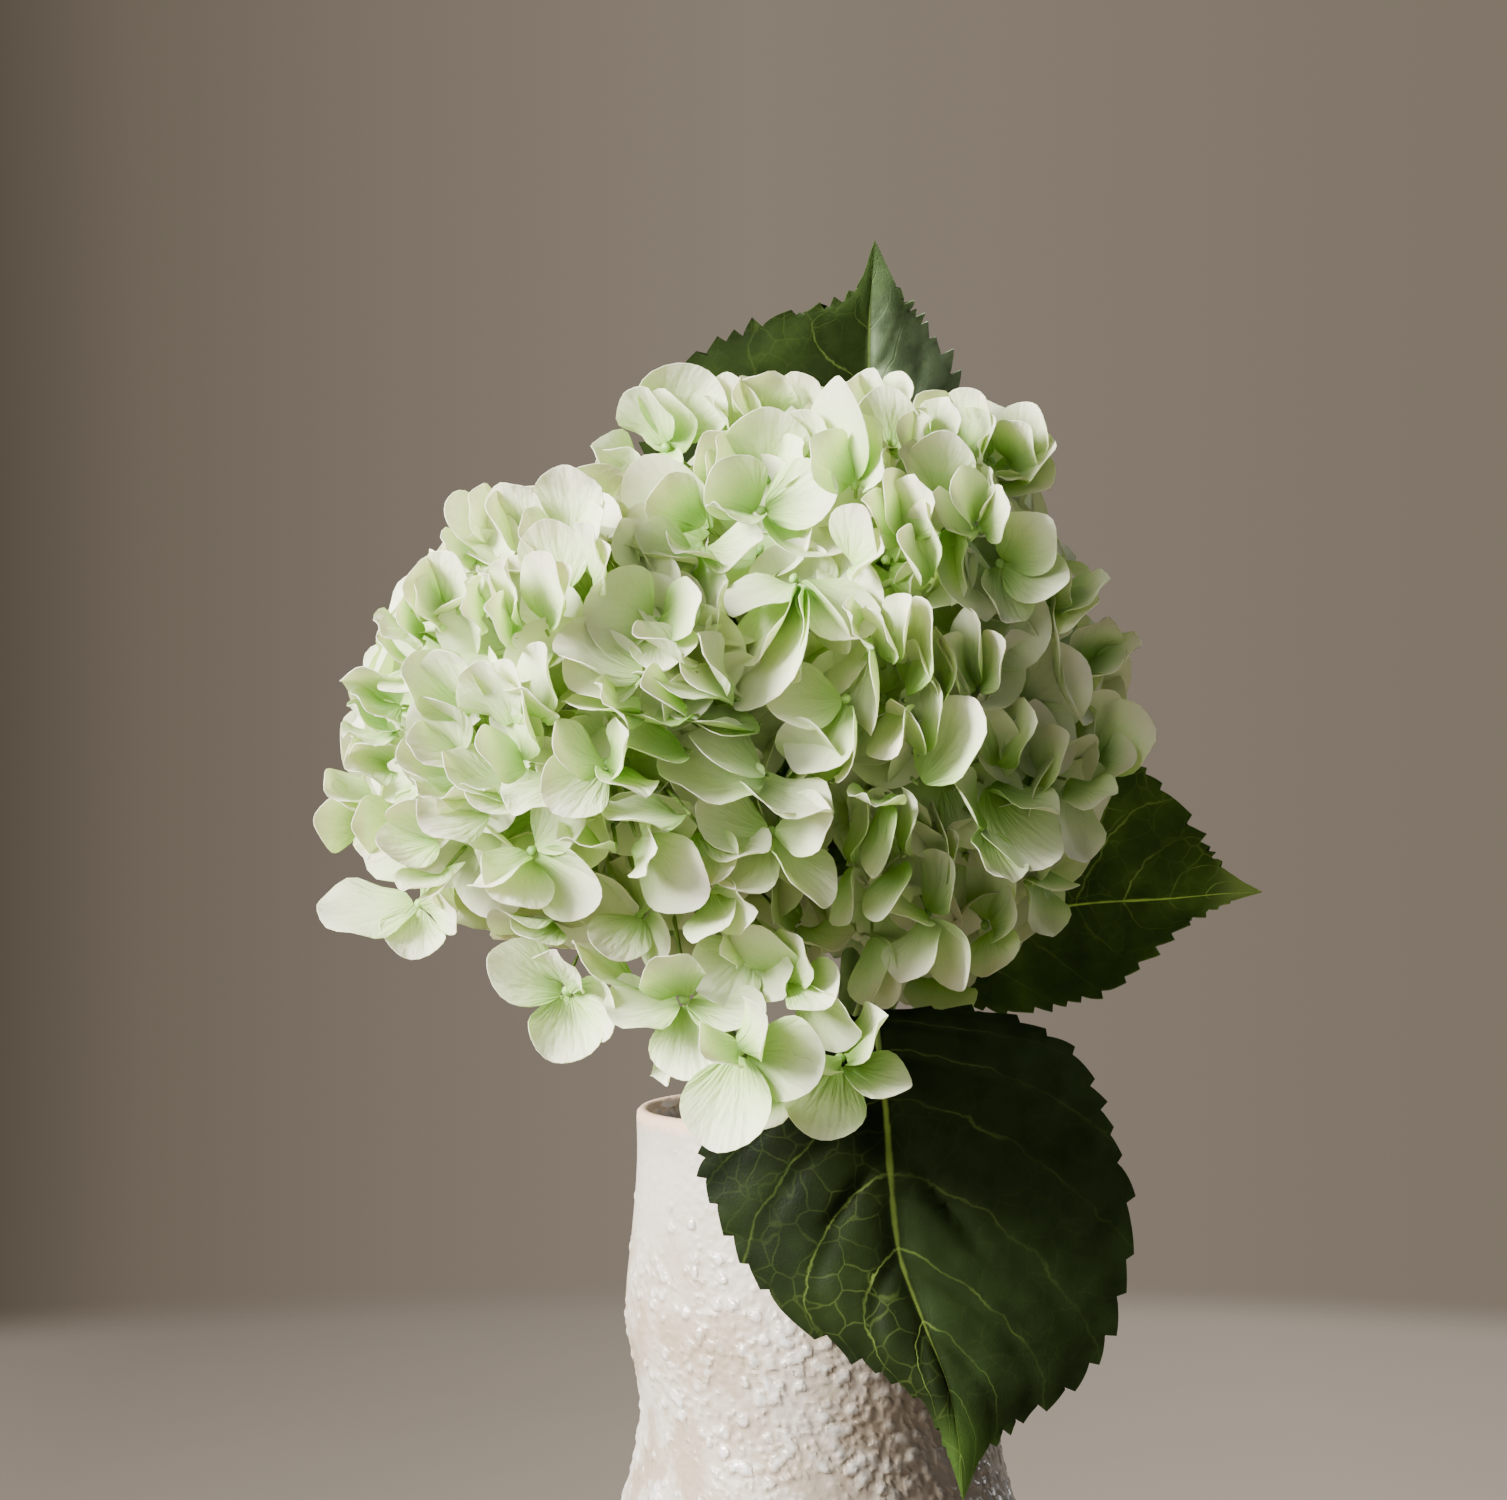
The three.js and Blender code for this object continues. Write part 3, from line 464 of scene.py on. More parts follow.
def glaze_finish():
    """Off-white glaze that pools over beads and wears to tan in the hollows, with a bare clay lip, and
    painted shade on the front right and inside the neck.
    """
    rim = VASE_HEIGHT * MM
    inside = (VASE_PROFILE[-1][1] - VASE_WALL) * MM
    finish = Finish("rough_glaze")
    where = finish.place()
    rightward, backward, height = finish.parts(where)
    bead = finish.add("Attribute", attribute_name="bead").outputs["Fac"]
    cloud = finish.grain(where, 28, 5)
    fine = finish.grain(where, 260, 4)
    glaze = finish.ramp(
        cloud, (0.3, (0.36, 0.29, 0.22)), (0.5, (0.44, 0.385, 0.32)), (0.7, (0.50, 0.46, 0.41)),
    )
    crests = finish.blend(finish.ease(bead, 0.15, 0.7), glaze, (0.62, 0.60, 0.57))
    # tan where the glaze is worn, mostly below the neck
    worn_run = finish.minus(finish.grain(where, 42, 6, 0.65), finish.times(bead, 0.15))
    low_part = finish.ease(height, rim - 0.066, rim - 0.021, 1, 0.25)
    worn_share = finish.times(finish.ease(worn_run, 0.40, 0.60), finish.times(low_part, 0.8))
    worn_and_painted_shade = finish.blend(worn_share, crests, (0.27, 0.195, 0.12))
    # painted shade: the glaze is painted darker and browner on the front right, fading towards the back and
    # the rim
    ahead = finish.ease(backward, -0.035, 0.0, 1, 0.2)
    front_right = finish.times(finish.ease(rightward, -0.035, 0.03), ahead)
    painted_shade_front_right = finish.times(front_right, finish.ease(height, rim - 0.056, rim - 0.004, 0.74, 0))
    worn_and_painted_shade = finish.blend(painted_shade_front_right, worn_and_painted_shade, (0.155, 0.125, 0.09))
    # painted shade darkens the inside of the neck, and the lip is bare clay
    flat = finish.add("VectorMath", {0: where, 1: (1, 1, 0)}, operation="MULTIPLY").outputs[0]
    radius = finish.add("VectorMath", {0: flat}, operation="LENGTH").outputs["Value"]
    dark = finish.ease(radius, inside + 0.0005, inside + 0.0027, 0.85, 0)
    worn_and_painted_shade = finish.blend(dark, worn_and_painted_shade, (0.10, 0.08, 0.058))
    lip = finish.ease(finish.maths("MULTIPLY_ADD", fine, 0.006, height), rim - 0.003, rim + 0.0015)
    clay = finish.blend(lip, worn_and_painted_shade, (0.60, 0.41, 0.28))
    finish.set(finish.shader.inputs["Base Color"], clay)
    rough = finish.maths("MAXIMUM", finish.ease(bead, 0.0, 0.5, 0.5, 0.16), finish.times(lip, 0.85))
    finish.set(finish.shader.inputs["Roughness"], rough)
    finish.shine({"Specular IOR Level": 0.7, "Coat Weight": 0.2, "Coat Roughness": 0.1})
    small = finish.add("TexVoronoi", {"Vector": where, "Scale": 420}, feature="SMOOTH_F1").outputs["Distance"]
    grit = finish.times(finish.minus(1.0, small), finish.ease(bead, 0.0, 0.3, 0.6, 1.4))
    finish.bumps(finish.maths("MULTIPLY_ADD", fine, 0.5, grit), 0.6, 0.0009)
    return finish.material


# ---- Camera, floor and light ---------------------------------------------------------------------


def camera():
    """A level camera at the eye, which frames what the photograph shows."""
    bpy.ops.object.camera_add(location=EYE * MM, rotation=(math.pi / 2, 0, 0))
    cam = bpy.context.object
    cam.data.sensor_width = SENSOR_WIDTH
    cam.data.lens = SENSOR_WIDTH * -EYE.y / (PHOTO_WIDTH * MM_PER_PIXEL)
    bpy.context.scene.camera = cam


FLOOR_RADIUS = 1.15


def floor():
    """A plain pale round floor, painted darker to the left as shade, whose edge fades into the backdrop."""
    bpy.ops.mesh.primitive_circle_add(vertices=128, radius=FLOOR_RADIUS, fill_type="NGON")
    disc = bpy.context.object
    disc.name = "floor"
    finish = Finish("pale_floor")
    where = finish.place()
    # painted shade: the floor runs from dark on the left to lighter on the right, with a little noise
    cloud = finish.maths("MULTIPLY_ADD", finish.grain(where, 3), 0.1, finish.parts(where)[0])
    share = finish.ease(cloud, -0.5, 0.5)
    colour = finish.ramp(share, (0.1, (0.085, 0.068, 0.051)), (0.9, (0.20, 0.167, 0.133)))
    finish.set(finish.shader.inputs["Base Color"], colour)
    finish.shine({"Roughness": 0.8})
    finish.bumps(finish.grain(where, 180), 0.1, 0.0004)
    middle = finish.add("VectorMath", {0: where}, operation="LENGTH").outputs["Value"]
    fading = finish.ease(middle, FLOOR_RADIUS * 0.86, FLOOR_RADIUS * 0.995)
    finish.mix_in(fading, finish.add("BsdfTransparent"))
    disc.data.materials.append(finish.material)
    disc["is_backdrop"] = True


# the room tone that the camera sees, with painted shade darker to the left
ROOM_TONES = [
    (0.275, (0.105, 0.086, 0.062)), (0.318, (0.165, 0.137, 0.103)), (0.392, (0.212, 0.176, 0.136)),
    (0.50, (0.262, 0.218, 0.170)), (0.70, (0.222, 0.186, 0.142)),
]


def backdrop():
    """A warm grey room tone, painted darker to the left as shade, and a weaker even light from all round."""
    world = bpy.data.worlds.new("room_tone")
    bpy.context.scene.world = world
    world.use_nodes = True
    nodes, links = world.node_tree.nodes, world.node_tree.links
    way = nodes.new("ShaderNodeTexCoord")
    parts = nodes.new("ShaderNodeSeparateXYZ")
    links.new(way.outputs["Generated"], parts.inputs[0])
    ramp = nodes.new("ShaderNodeValToRGB")
    stops = ramp.color_ramp.elements
    while len(stops) < len(ROOM_TONES):
        stops.new(1)
    for stop, (place, colour) in zip(stops, ROOM_TONES):
        stop.position, stop.color = place, (*colour, 1)
    shift = nodes.new("ShaderNodeMapRange")
    links.new(parts.outputs[0], shift.inputs[0])
    shift.inputs[1].default_value, shift.inputs[2].default_value = -0.5, 0.5
    links.new(shift.outputs[0], ramp.inputs[0])
    seen_tone = nodes.new("ShaderNodeBackground")
    links.new(ramp.outputs[0], seen_tone.inputs[0])
    fill = nodes["Background"]
    fill.inputs[0].default_value = (0.92, 0.96, 1.0, 1)
    fill.inputs[1].default_value = 0.14
    ray = nodes.new("ShaderNodeLightPath")
    mix = nodes.new("ShaderNodeMixShader")
    links.new(ray.outputs["Is Camera Ray"], mix.inputs[0])
    links.new(fill.outputs[0], mix.inputs[1])
    links.new(seen_tone.outputs[0], mix.inputs[2])
    links.new(mix.outputs[0], nodes["World Output"].inputs[0])


LIGHTS = {  # each round light's place, size, power and colour
    "window": ((-1.72, -0.88, 1.2), 1.0, 305, (1.0, 0.98, 0.95)),
    "room": ((-1.2, -1.55, 1.0), 1.4, 24, (1.0, 0.99, 0.96)),
    "behind": ((1.5, 1.5, 1.1), 1.2, 14, (1.0, 0.99, 0.97)),
}
LIT_PLACE = Vector((0, 0, 0.3))


def soft_light(name, place, size, power, colour):
    """A round light that faces the middle of the object."""
    bpy.ops.object.light_add(type="AREA", location=place)
    lamp = bpy.context.object
    lamp.name = name
    lamp.data.shape = "DISK"
    lamp.data.size = size
    lamp.data.energy = power
    lamp.data.color = colour
    lamp.rotation_euler = (LIT_PLACE - Vector(place)).to_track_quat("-Z", "Y").to_euler()


# ---- Vase ----------------------------------------------------------------------------------------


def vase_wave(angle, z):
    """How far the hand-built wall swells or sinks at a height, all round; level at the foot."""
    grown = min(1.0, z / 60)
    slow = math.sin(2 * angle + z / 31) + 0.6 * math.sin(3 * angle - z / 19 + 1.3)
    return VASE_WAVE * grown * (slow + 0.35 * math.sin(5 * angle + z / 11))


BEAD_PITCH = 3.6
BEAD_HEIGHT = 1.15
BEAD_PATCH = 21
BEADS_FROM = 3
BEADS_TO = 214


def bead_height(place):
    """How far the glaze stands up in beads at a place on the wall, from 0 to 1 of their height."""
    # no beads near the rim, more of them to the right, and bare patches all round
    dense = min(1.0, max(0.0, (BEADS_TO - place.z) / 45))
    patch = 0.5 + 0.5 * noise.noise(place / BEAD_PATCH)
    rightward = max(-1.0, min(1.0, (place.x + 15) / 40))
    cover = dense * (1.5 * patch - 0.2 + 0.3 * rightward)
    height = 0.0
    for pitch, share in ((BEAD_PITCH, 1.0), (BEAD_PITCH * 0.55, 0.45)):
        distances, centres = noise.voronoi(place / pitch)
        kept = noise.cell(centres[0] * 7.3) * 0.5 + 0.5
        if kept < cover:
            height = max(height, share * (1 - min(1.0, distances[0] / 0.62) ** 2) * (0.55 + 0.45 * kept))
    return height


def vase_outline():
    """Half the vase's section, from the middle of its foot over the lip to the middle of its floor."""
    profile = [(radius, 0, height) for height, radius in VASE_PROFILE]
    mouth = profile[-1][0]
    foot = [Vector((radius, 0, 0)) for radius in FOOT_RADII]
    outer = evenly(profile, VASE_ROWS)
    lip = [Vector((mouth - inward, 0, VASE_HEIGHT - down)) for inward, down in LIP_ROUND]
    inner = [point - Vector((VASE_WALL, 0, 0)) for point in reversed(evenly(profile, INNER_ROWS))]
    inner = [point for point in inner if VASE_FLOOR + 4 < point.z < VASE_HEIGHT - 8]
    floor_inside = [Vector((radius, 0, VASE_FLOOR)) for radius in FLOOR_RADII]
    return [*foot, *outer, *lip, *inner, *floor_inside]


def vase():
    """The vase, turned from its outline, waved as by hand, with beads of glaze on its outside."""
    points = vase_outline()
    # one vertex, drawn out along the outline and spun round the middle
    bpy.ops.mesh.primitive_plane_add(size=1)
    body = bpy.context.object
    bpy.ops.object.mode_set(mode="EDIT")
    bpy.ops.mesh.merge(type="CENTER")
    for before, after in zip(points, points[1:]):
        bpy.ops.mesh.extrude_region_move(TRANSFORM_OT_translate={"value": after - before})
    bpy.ops.mesh.select_all(action="SELECT")
    bpy.ops.mesh.spin(steps=VASE_SIDES, angle=2 * math.pi, center=(0, 0, 0), axis=(0, 0, 1))
    bpy.ops.mesh.select_all(action="SELECT")
    bpy.ops.mesh.remove_doubles(threshold=0.01)
    bpy.ops.mesh.normals_make_consistent(inside=False)
    bpy.ops.object.mode_set(mode="OBJECT")
    mesh = body.data
    beads = mesh.attributes.new("bead", "FLOAT", "POINT")
    heights = []
    normals = [vertex.normal.copy() for vertex in mesh.vertices]
    for vertex, normal in zip(mesh.vertices, normals):
        place = vertex.co
        radius = math.hypot(place.x, place.y)
        if radius < 1:
            heights.append(0.0)
            continue
        outside = normal.x * place.x + normal.y * place.y > 0 and BEADS_FROM < place.z < 234
        bead = bead_height(place) * min(1.0, (place.z - BEADS_FROM) / 8) if outside else 0.0
        heights.append(bead)
        swell = 1 + (vase_wave(math.atan2(place.y, place.x), place.z) + BEAD_HEIGHT * bead) / radius
        vertex.co = Vector((place.x * swell, place.y * swell, place.z))
    beads.data.foreach_set("value", heights)
    only(body)
    bpy.ops.object.shade_smooth()
    return body


# ---- Stems and stalks ----------------------------------------------------------------------------


def tube(points, radii, sides=12):
    """A round rod through the points, with a radius at each, closed at both ends."""
    curve = bpy.data.curves.new("rod", "CURVE")
    curve.dimensions = "3D"
    curve.bevel_depth = 1
    curve.bevel_resolution = max(0, sides // 4 - 1)
    curve.use_fill_caps = True
    spline = curve.splines.new("POLY")
    spline.points.add(len(points) - 1)
    for point, place, radius in zip(spline.points, points, radii):
        point.co = (*place, 1)
        point.radius = radius
    rod = bpy.data.objects.new("rod", curve)
    bpy.context.collection.objects.link(rod)
    only(rod)
    bpy.ops.object.convert(target="MESH")
    rod = bpy.context.object
    bpy.ops.object.mode_set(mode="EDIT")
    bpy.ops.mesh.select_all(action="SELECT")
    bpy.ops.mesh.remove_doubles(threshold=0.001)
    bpy.ops.mesh.normals_make_consistent(inside=False)
    bpy.ops.object.mode_set(mode="OBJECT")
    bpy.ops.object.shade_smooth_by_angle(angle=SMOOTH_BELOW)
    return rod


STEM_LINES = {name: evenly(points, STEM_STEPS) for name, points in STEM_POINTS.items()}


def stem(name):
    """A stem that is a little thicker at its knuckles, where leaves grew."""
    points = evenly(STEM_LINES[name], STEM_RINGS)
    radii = []
    for point in points:
        knuckle = sum(math.exp(-((point.z - height) / 4) ** 2) for height in STEM_KNUCKLES)
        radii.append(STEM_RADIUS * (0.94 + 0.1 * min(1, knuckle)))
    return tube(points, radii, 16)


def stalk_root(line, height, angle):
    """The start of a leaf's stalk against a stem: its two first points, level, going out at an angle."""
    above = next(k for k, point in enumerate(line) if point.z > height)
    low, high = line[above - 1], line[above]
    axis = low.lerp(high, (height - low.z) / (high.z - low.z))
    out = Vector((math.cos(math.radians(angle)), math.sin(math.radians(angle)), 0))
    away = STEM_RADIUS + 2 * CLEARANCE
    return [axis + out * away, axis + out * (away + 5)]


# ---- Leaves --------------------------------------------------------------------------------------

LEAVES = {
    "low": dict(
        left=[
            seen(872, 1012, -61), seen(800, 1040, -61), seen(722, 1110, -61), seen(703, 1165, -60),
            seen(728, 1230, -63), seen(780, 1305, -67), seen(860, 1358, -72), seen(925, 1402, -76),
            seen(948, 1450, -78), seen(963, 1500, -80),
        ],
        midrib=[
            seen(873, 1010, -61), seen(876, 1035, -66), seen(881, 1070, -68), seen(886, 1115, -68),
            seen(891, 1190, -68), seen(900, 1258, -70), seen(922, 1320, -74), seen(945, 1380, -77),
            seen(958, 1440, -79), seen(963, 1500, -80),
        ],
        right=[
            seen(877, 1010, -61), seen(990, 1014, -60), seen(1068, 1048, -57), seen(1102, 1110, -54),
            seen(1128, 1205, -54), seen(1116, 1312, -60), seen(1078, 1380, -66), seen(1020, 1418, -72),
            seen(985, 1450, -77), seen(963, 1500, -80),
        ],
        stalk=[
            *stalk_root(STEM_LINES["tall"], 258, -85), Vector((11, -30, 266)), Vector((13.4, -50, 274)),
            seen(876, 1026, -65), seen(882, 1075, -67.5),
        ],
        creases=[(seen(880, 1157, -66), seen(818, 1237, -66)), (seen(897, 1137, -64), seen(995, 1270, -64))],
        teeth=22, tooth=4.6, bulge=4,
    ),
    "right": dict(
        left=[
            seen(905, 985, 14), seen(940, 905, 32), seen(1010, 830, 48), seen(1080, 775, 52),
            seen(1130, 765, 50), seen(1175, 802, 44), seen(1205, 845, 36), seen(1228, 872, 30),
            seen(1262, 892, 26),
        ],
        midrib=[
            seen(905, 985, 14), seen(945, 958, 22), seen(1000, 930, 28), seen(1060, 908, 31),
            seen(1110, 902, 32), seen(1155, 900, 31), seen(1195, 897, 30), seen(1228, 894, 28),
            seen(1262, 892, 26),
        ],
        right=[
            seen(905, 985, 14), seen(950, 1000, 12), seen(1005, 1012, 14), seen(1058, 1005, 17),
            seen(1108, 990, 20), seen(1150, 955, 23), seen(1188, 922, 26), seen(1222, 905, 27),
            seen(1262, 892, 26),
        ],
        stalk=[*stalk_root(STEM_LINES["tall"], 254, 25), seen(905, 985, 14), seen(945, 960, 21)],
        creases=[],
        teeth=20, tooth=4.2, bulge=-3,
    ),
    "top": dict(
        left=[
            seen(862, 800, 62), seen(790, 760, 66), seen(712, 680, 70), seen(660, 570, 72),
            seen(648, 460, 68), seen(680, 372, 58), seen(768, 322, 48), seen(850, 296, 40),
            seen(875, 240, 34),
        ],
        midrib=[
            seen(864, 800, 62), seen(866, 742, 66), seen(868, 670, 70), seen(869, 590, 71),
            seen(870, 500, 67), seen(870, 410, 57), seen(869, 345, 48), seen(870, 300, 41),
            seen(875, 240, 34),
        ],
        right=[
            seen(866, 800, 62), seen(920, 765, 70), seen(968, 690, 80), seen(990, 585, 86),
            seen(985, 480, 80), seen(958, 385, 66), seen(922, 325, 52), seen(904, 300, 42),
            seen(875, 240, 34),
        ],
        stalk=[
            *stalk_root(STEM_LINES["tall"], 250, 95), Vector((9, 22, 272)), Vector((11, 45, 295)),
            Vector((13, 59, 318)), seen(865, 775, 63.5),
        ],
        creases=[],
        teeth=28, tooth=6.5, bulge=3,
    ),
}
LEAF_THICKNESS = 0.6
TOOTH_ROWS = 7  # rows of the blade's grid to a tooth
LEAF_COLUMNS = 44
QUILT = 0.9  # how far the cloth puffs up between its veins
CREASE_DEPTH = 2.4


def leaf_relief(along, across):
    """How deep the veins lie in the blade: 0 between them, 1 on them."""
    out = abs(across)
    beat = (along - VEIN_ARCH * out ** VEIN_CURVE) * VEINS
    apart = abs(beat % 1 - 0.5)
    side = math.exp(-((apart / 0.13) ** 2)) * (1 - 0.6 * out)
    return max(side, math.exp(-((out / 0.07) ** 2))) * min(1, (1 - along) * 2.5) ** 2


def crease_depth(place, creases):
    """A short fold pressed into the cloth along each crease, deepest at its middle."""
    depth = 0.0
    for start, end in creases:
        way = end - start
        share = max(0.0, min(1.0, (place - start).dot(way) / way.length_squared))
        gap = Vector((place.x - (start + way * share).x, 0, place.z - (start + way * share).z)).length
        depth += math.sin(math.pi * share) * math.exp(-((gap / 2) ** 2))
    return depth


def leaf(name, cloth, stem_cloth):
    """A leaf's toothed blade and its stalk, each with its own finish."""
    shape = LEAVES[name]
    midrib, left, right = (smooth_line(shape[edge]) for edge in ("midrib", "left", "right"))
    rows = shape["teeth"] * TOOTH_ROWS
    bpy.ops.mesh.primitive_grid_add(x_subdivisions=rows, y_subdivisions=LEAF_COLUMNS, size=2)
    blade = bpy.context.object
    mesh = blade.data
    sheet = []
    for vertex in mesh.vertices:
        along, across = (vertex.co.x + 1) / 2, vertex.co.y
        sheet.append((along, -across))
        middle = midrib(along)
        edge = (left if across > 0 else right)(along)
        out = abs(across)
        place = middle.lerp(edge, out)
        arch = math.sin(math.pi * out) * math.sin(math.pi * along) * min(1, (1 - along) * 3)
        place.y -= shape["bulge"] * arch
        # the teeth, square to the edge: pointed, of uneven size and pitch, and none at the tip
        if out > 0.99 and 0.03 < along < 0.97:
            uneven = 0.8 * noise.noise((along * shape["teeth"] * 0.45, 3.1 * across, 2.5))
            tooth, rise = divmod(along * shape["teeth"] + uneven, 1)
            grown = max(0.45, 0.7 + 0.9 * noise.noise((tooth * 1.7, 5.3 * across, 0.5)))
            taper = min(1.0, max(0.0, (0.93 - along) * 10))
            onward = ((left if across > 0 else right)(along + 0.01) - edge).normalized()
            square_out = edge - middle - onward * (edge - middle).dot(onward)
            place += square_out.normalized() * shape["tooth"] * (rise ** 0.75 - 0.4) * grown * taper
        vertex.co = place
    mesh.update()
    normals = [vertex.normal.copy() for vertex in mesh.vertices]
    for vertex, normal, (along, across) in zip(mesh.vertices, normals, sheet):
        edge_fade = min(1.0, along * 12) * min(1.0, (1 - along) * 12)
        to_front = 1 if normal.y < 0 else -1
        puff = QUILT * edge_fade * (0.5 - leaf_relief(along, across))
        puff += 0.5 * noise.noise(vertex.co / 9) * edge_fade
        puff -= CREASE_DEPTH * crease_depth(vertex.co, shape["creases"])
        vertex.co += normal * puff * to_front
    for loop, uv in zip(mesh.loops, mesh.uv_layers[0].data):
        along, across = sheet[loop.vertex_index]
        uv.uv = (along, (across + 1) / 2)
    only(blade)
    bpy.ops.object.mode_set(mode="EDIT")
    bpy.ops.mesh.select_all(action="SELECT")
    bpy.ops.mesh.remove_doubles(threshold=0.01)
    bpy.ops.mesh.normals_make_consistent(inside=False)
    bpy.ops.object.mode_set(mode="OBJECT")
    modified(blade, "SOLIDIFY", thickness=LEAF_THICKNESS, offset=0)
    bpy.ops.object.shade_smooth_by_angle(angle=SMOOTH_BELOW)
    points = evenly(shape["stalk"], STALK_RINGS)
    radii = [STALK_RADIUS * (1 - 0.45 * k / STALK_RINGS) for k in range(STALK_RINGS + 1)]
    stalk = tube(points, radii)
    blade.data.materials.append(cloth)
    stalk.data.materials.append(stem_cloth)
    return joined([blade, stalk])


# ---- Flower heads --------------------------------------------------------------------------------
# Floret centres lie on an ellipsoid round each head's core, and petals reach out of it.

# lean: in degrees about Y. side: which side of the seam between the heads. paleness: how cream its
# petals are.
HEADS = {
    "tall": dict(centre=seen(858, 690, -25), reach=Vector((68, 64, 80)), lean=-10, side=-1, paleness=1),
    "low": dict(centre=seen(592, 722, -52), reach=Vector((64, 58, 60)), lean=0, side=1, paleness=1.35),
}
# the two heads press against each other at this plane, whose normal points to the low head
SEAM_NORMAL = Vector((-0.8, -0.38, -0.46)).normalized()
SEAM_POINT = HEADS["tall"]["centre"] + SEAM_NORMAL * 40


def floret(px, py, lift, *petals, depth=None):
    """A floret that the photograph shows: where its eye is seen, how far it stands proud of the head or
    what its depth is, and for each of its petals that shows, where the tip is seen and how broad it looks."""
    return dict(px=px, py=py, lift=lift, petals=petals, depth=depth)


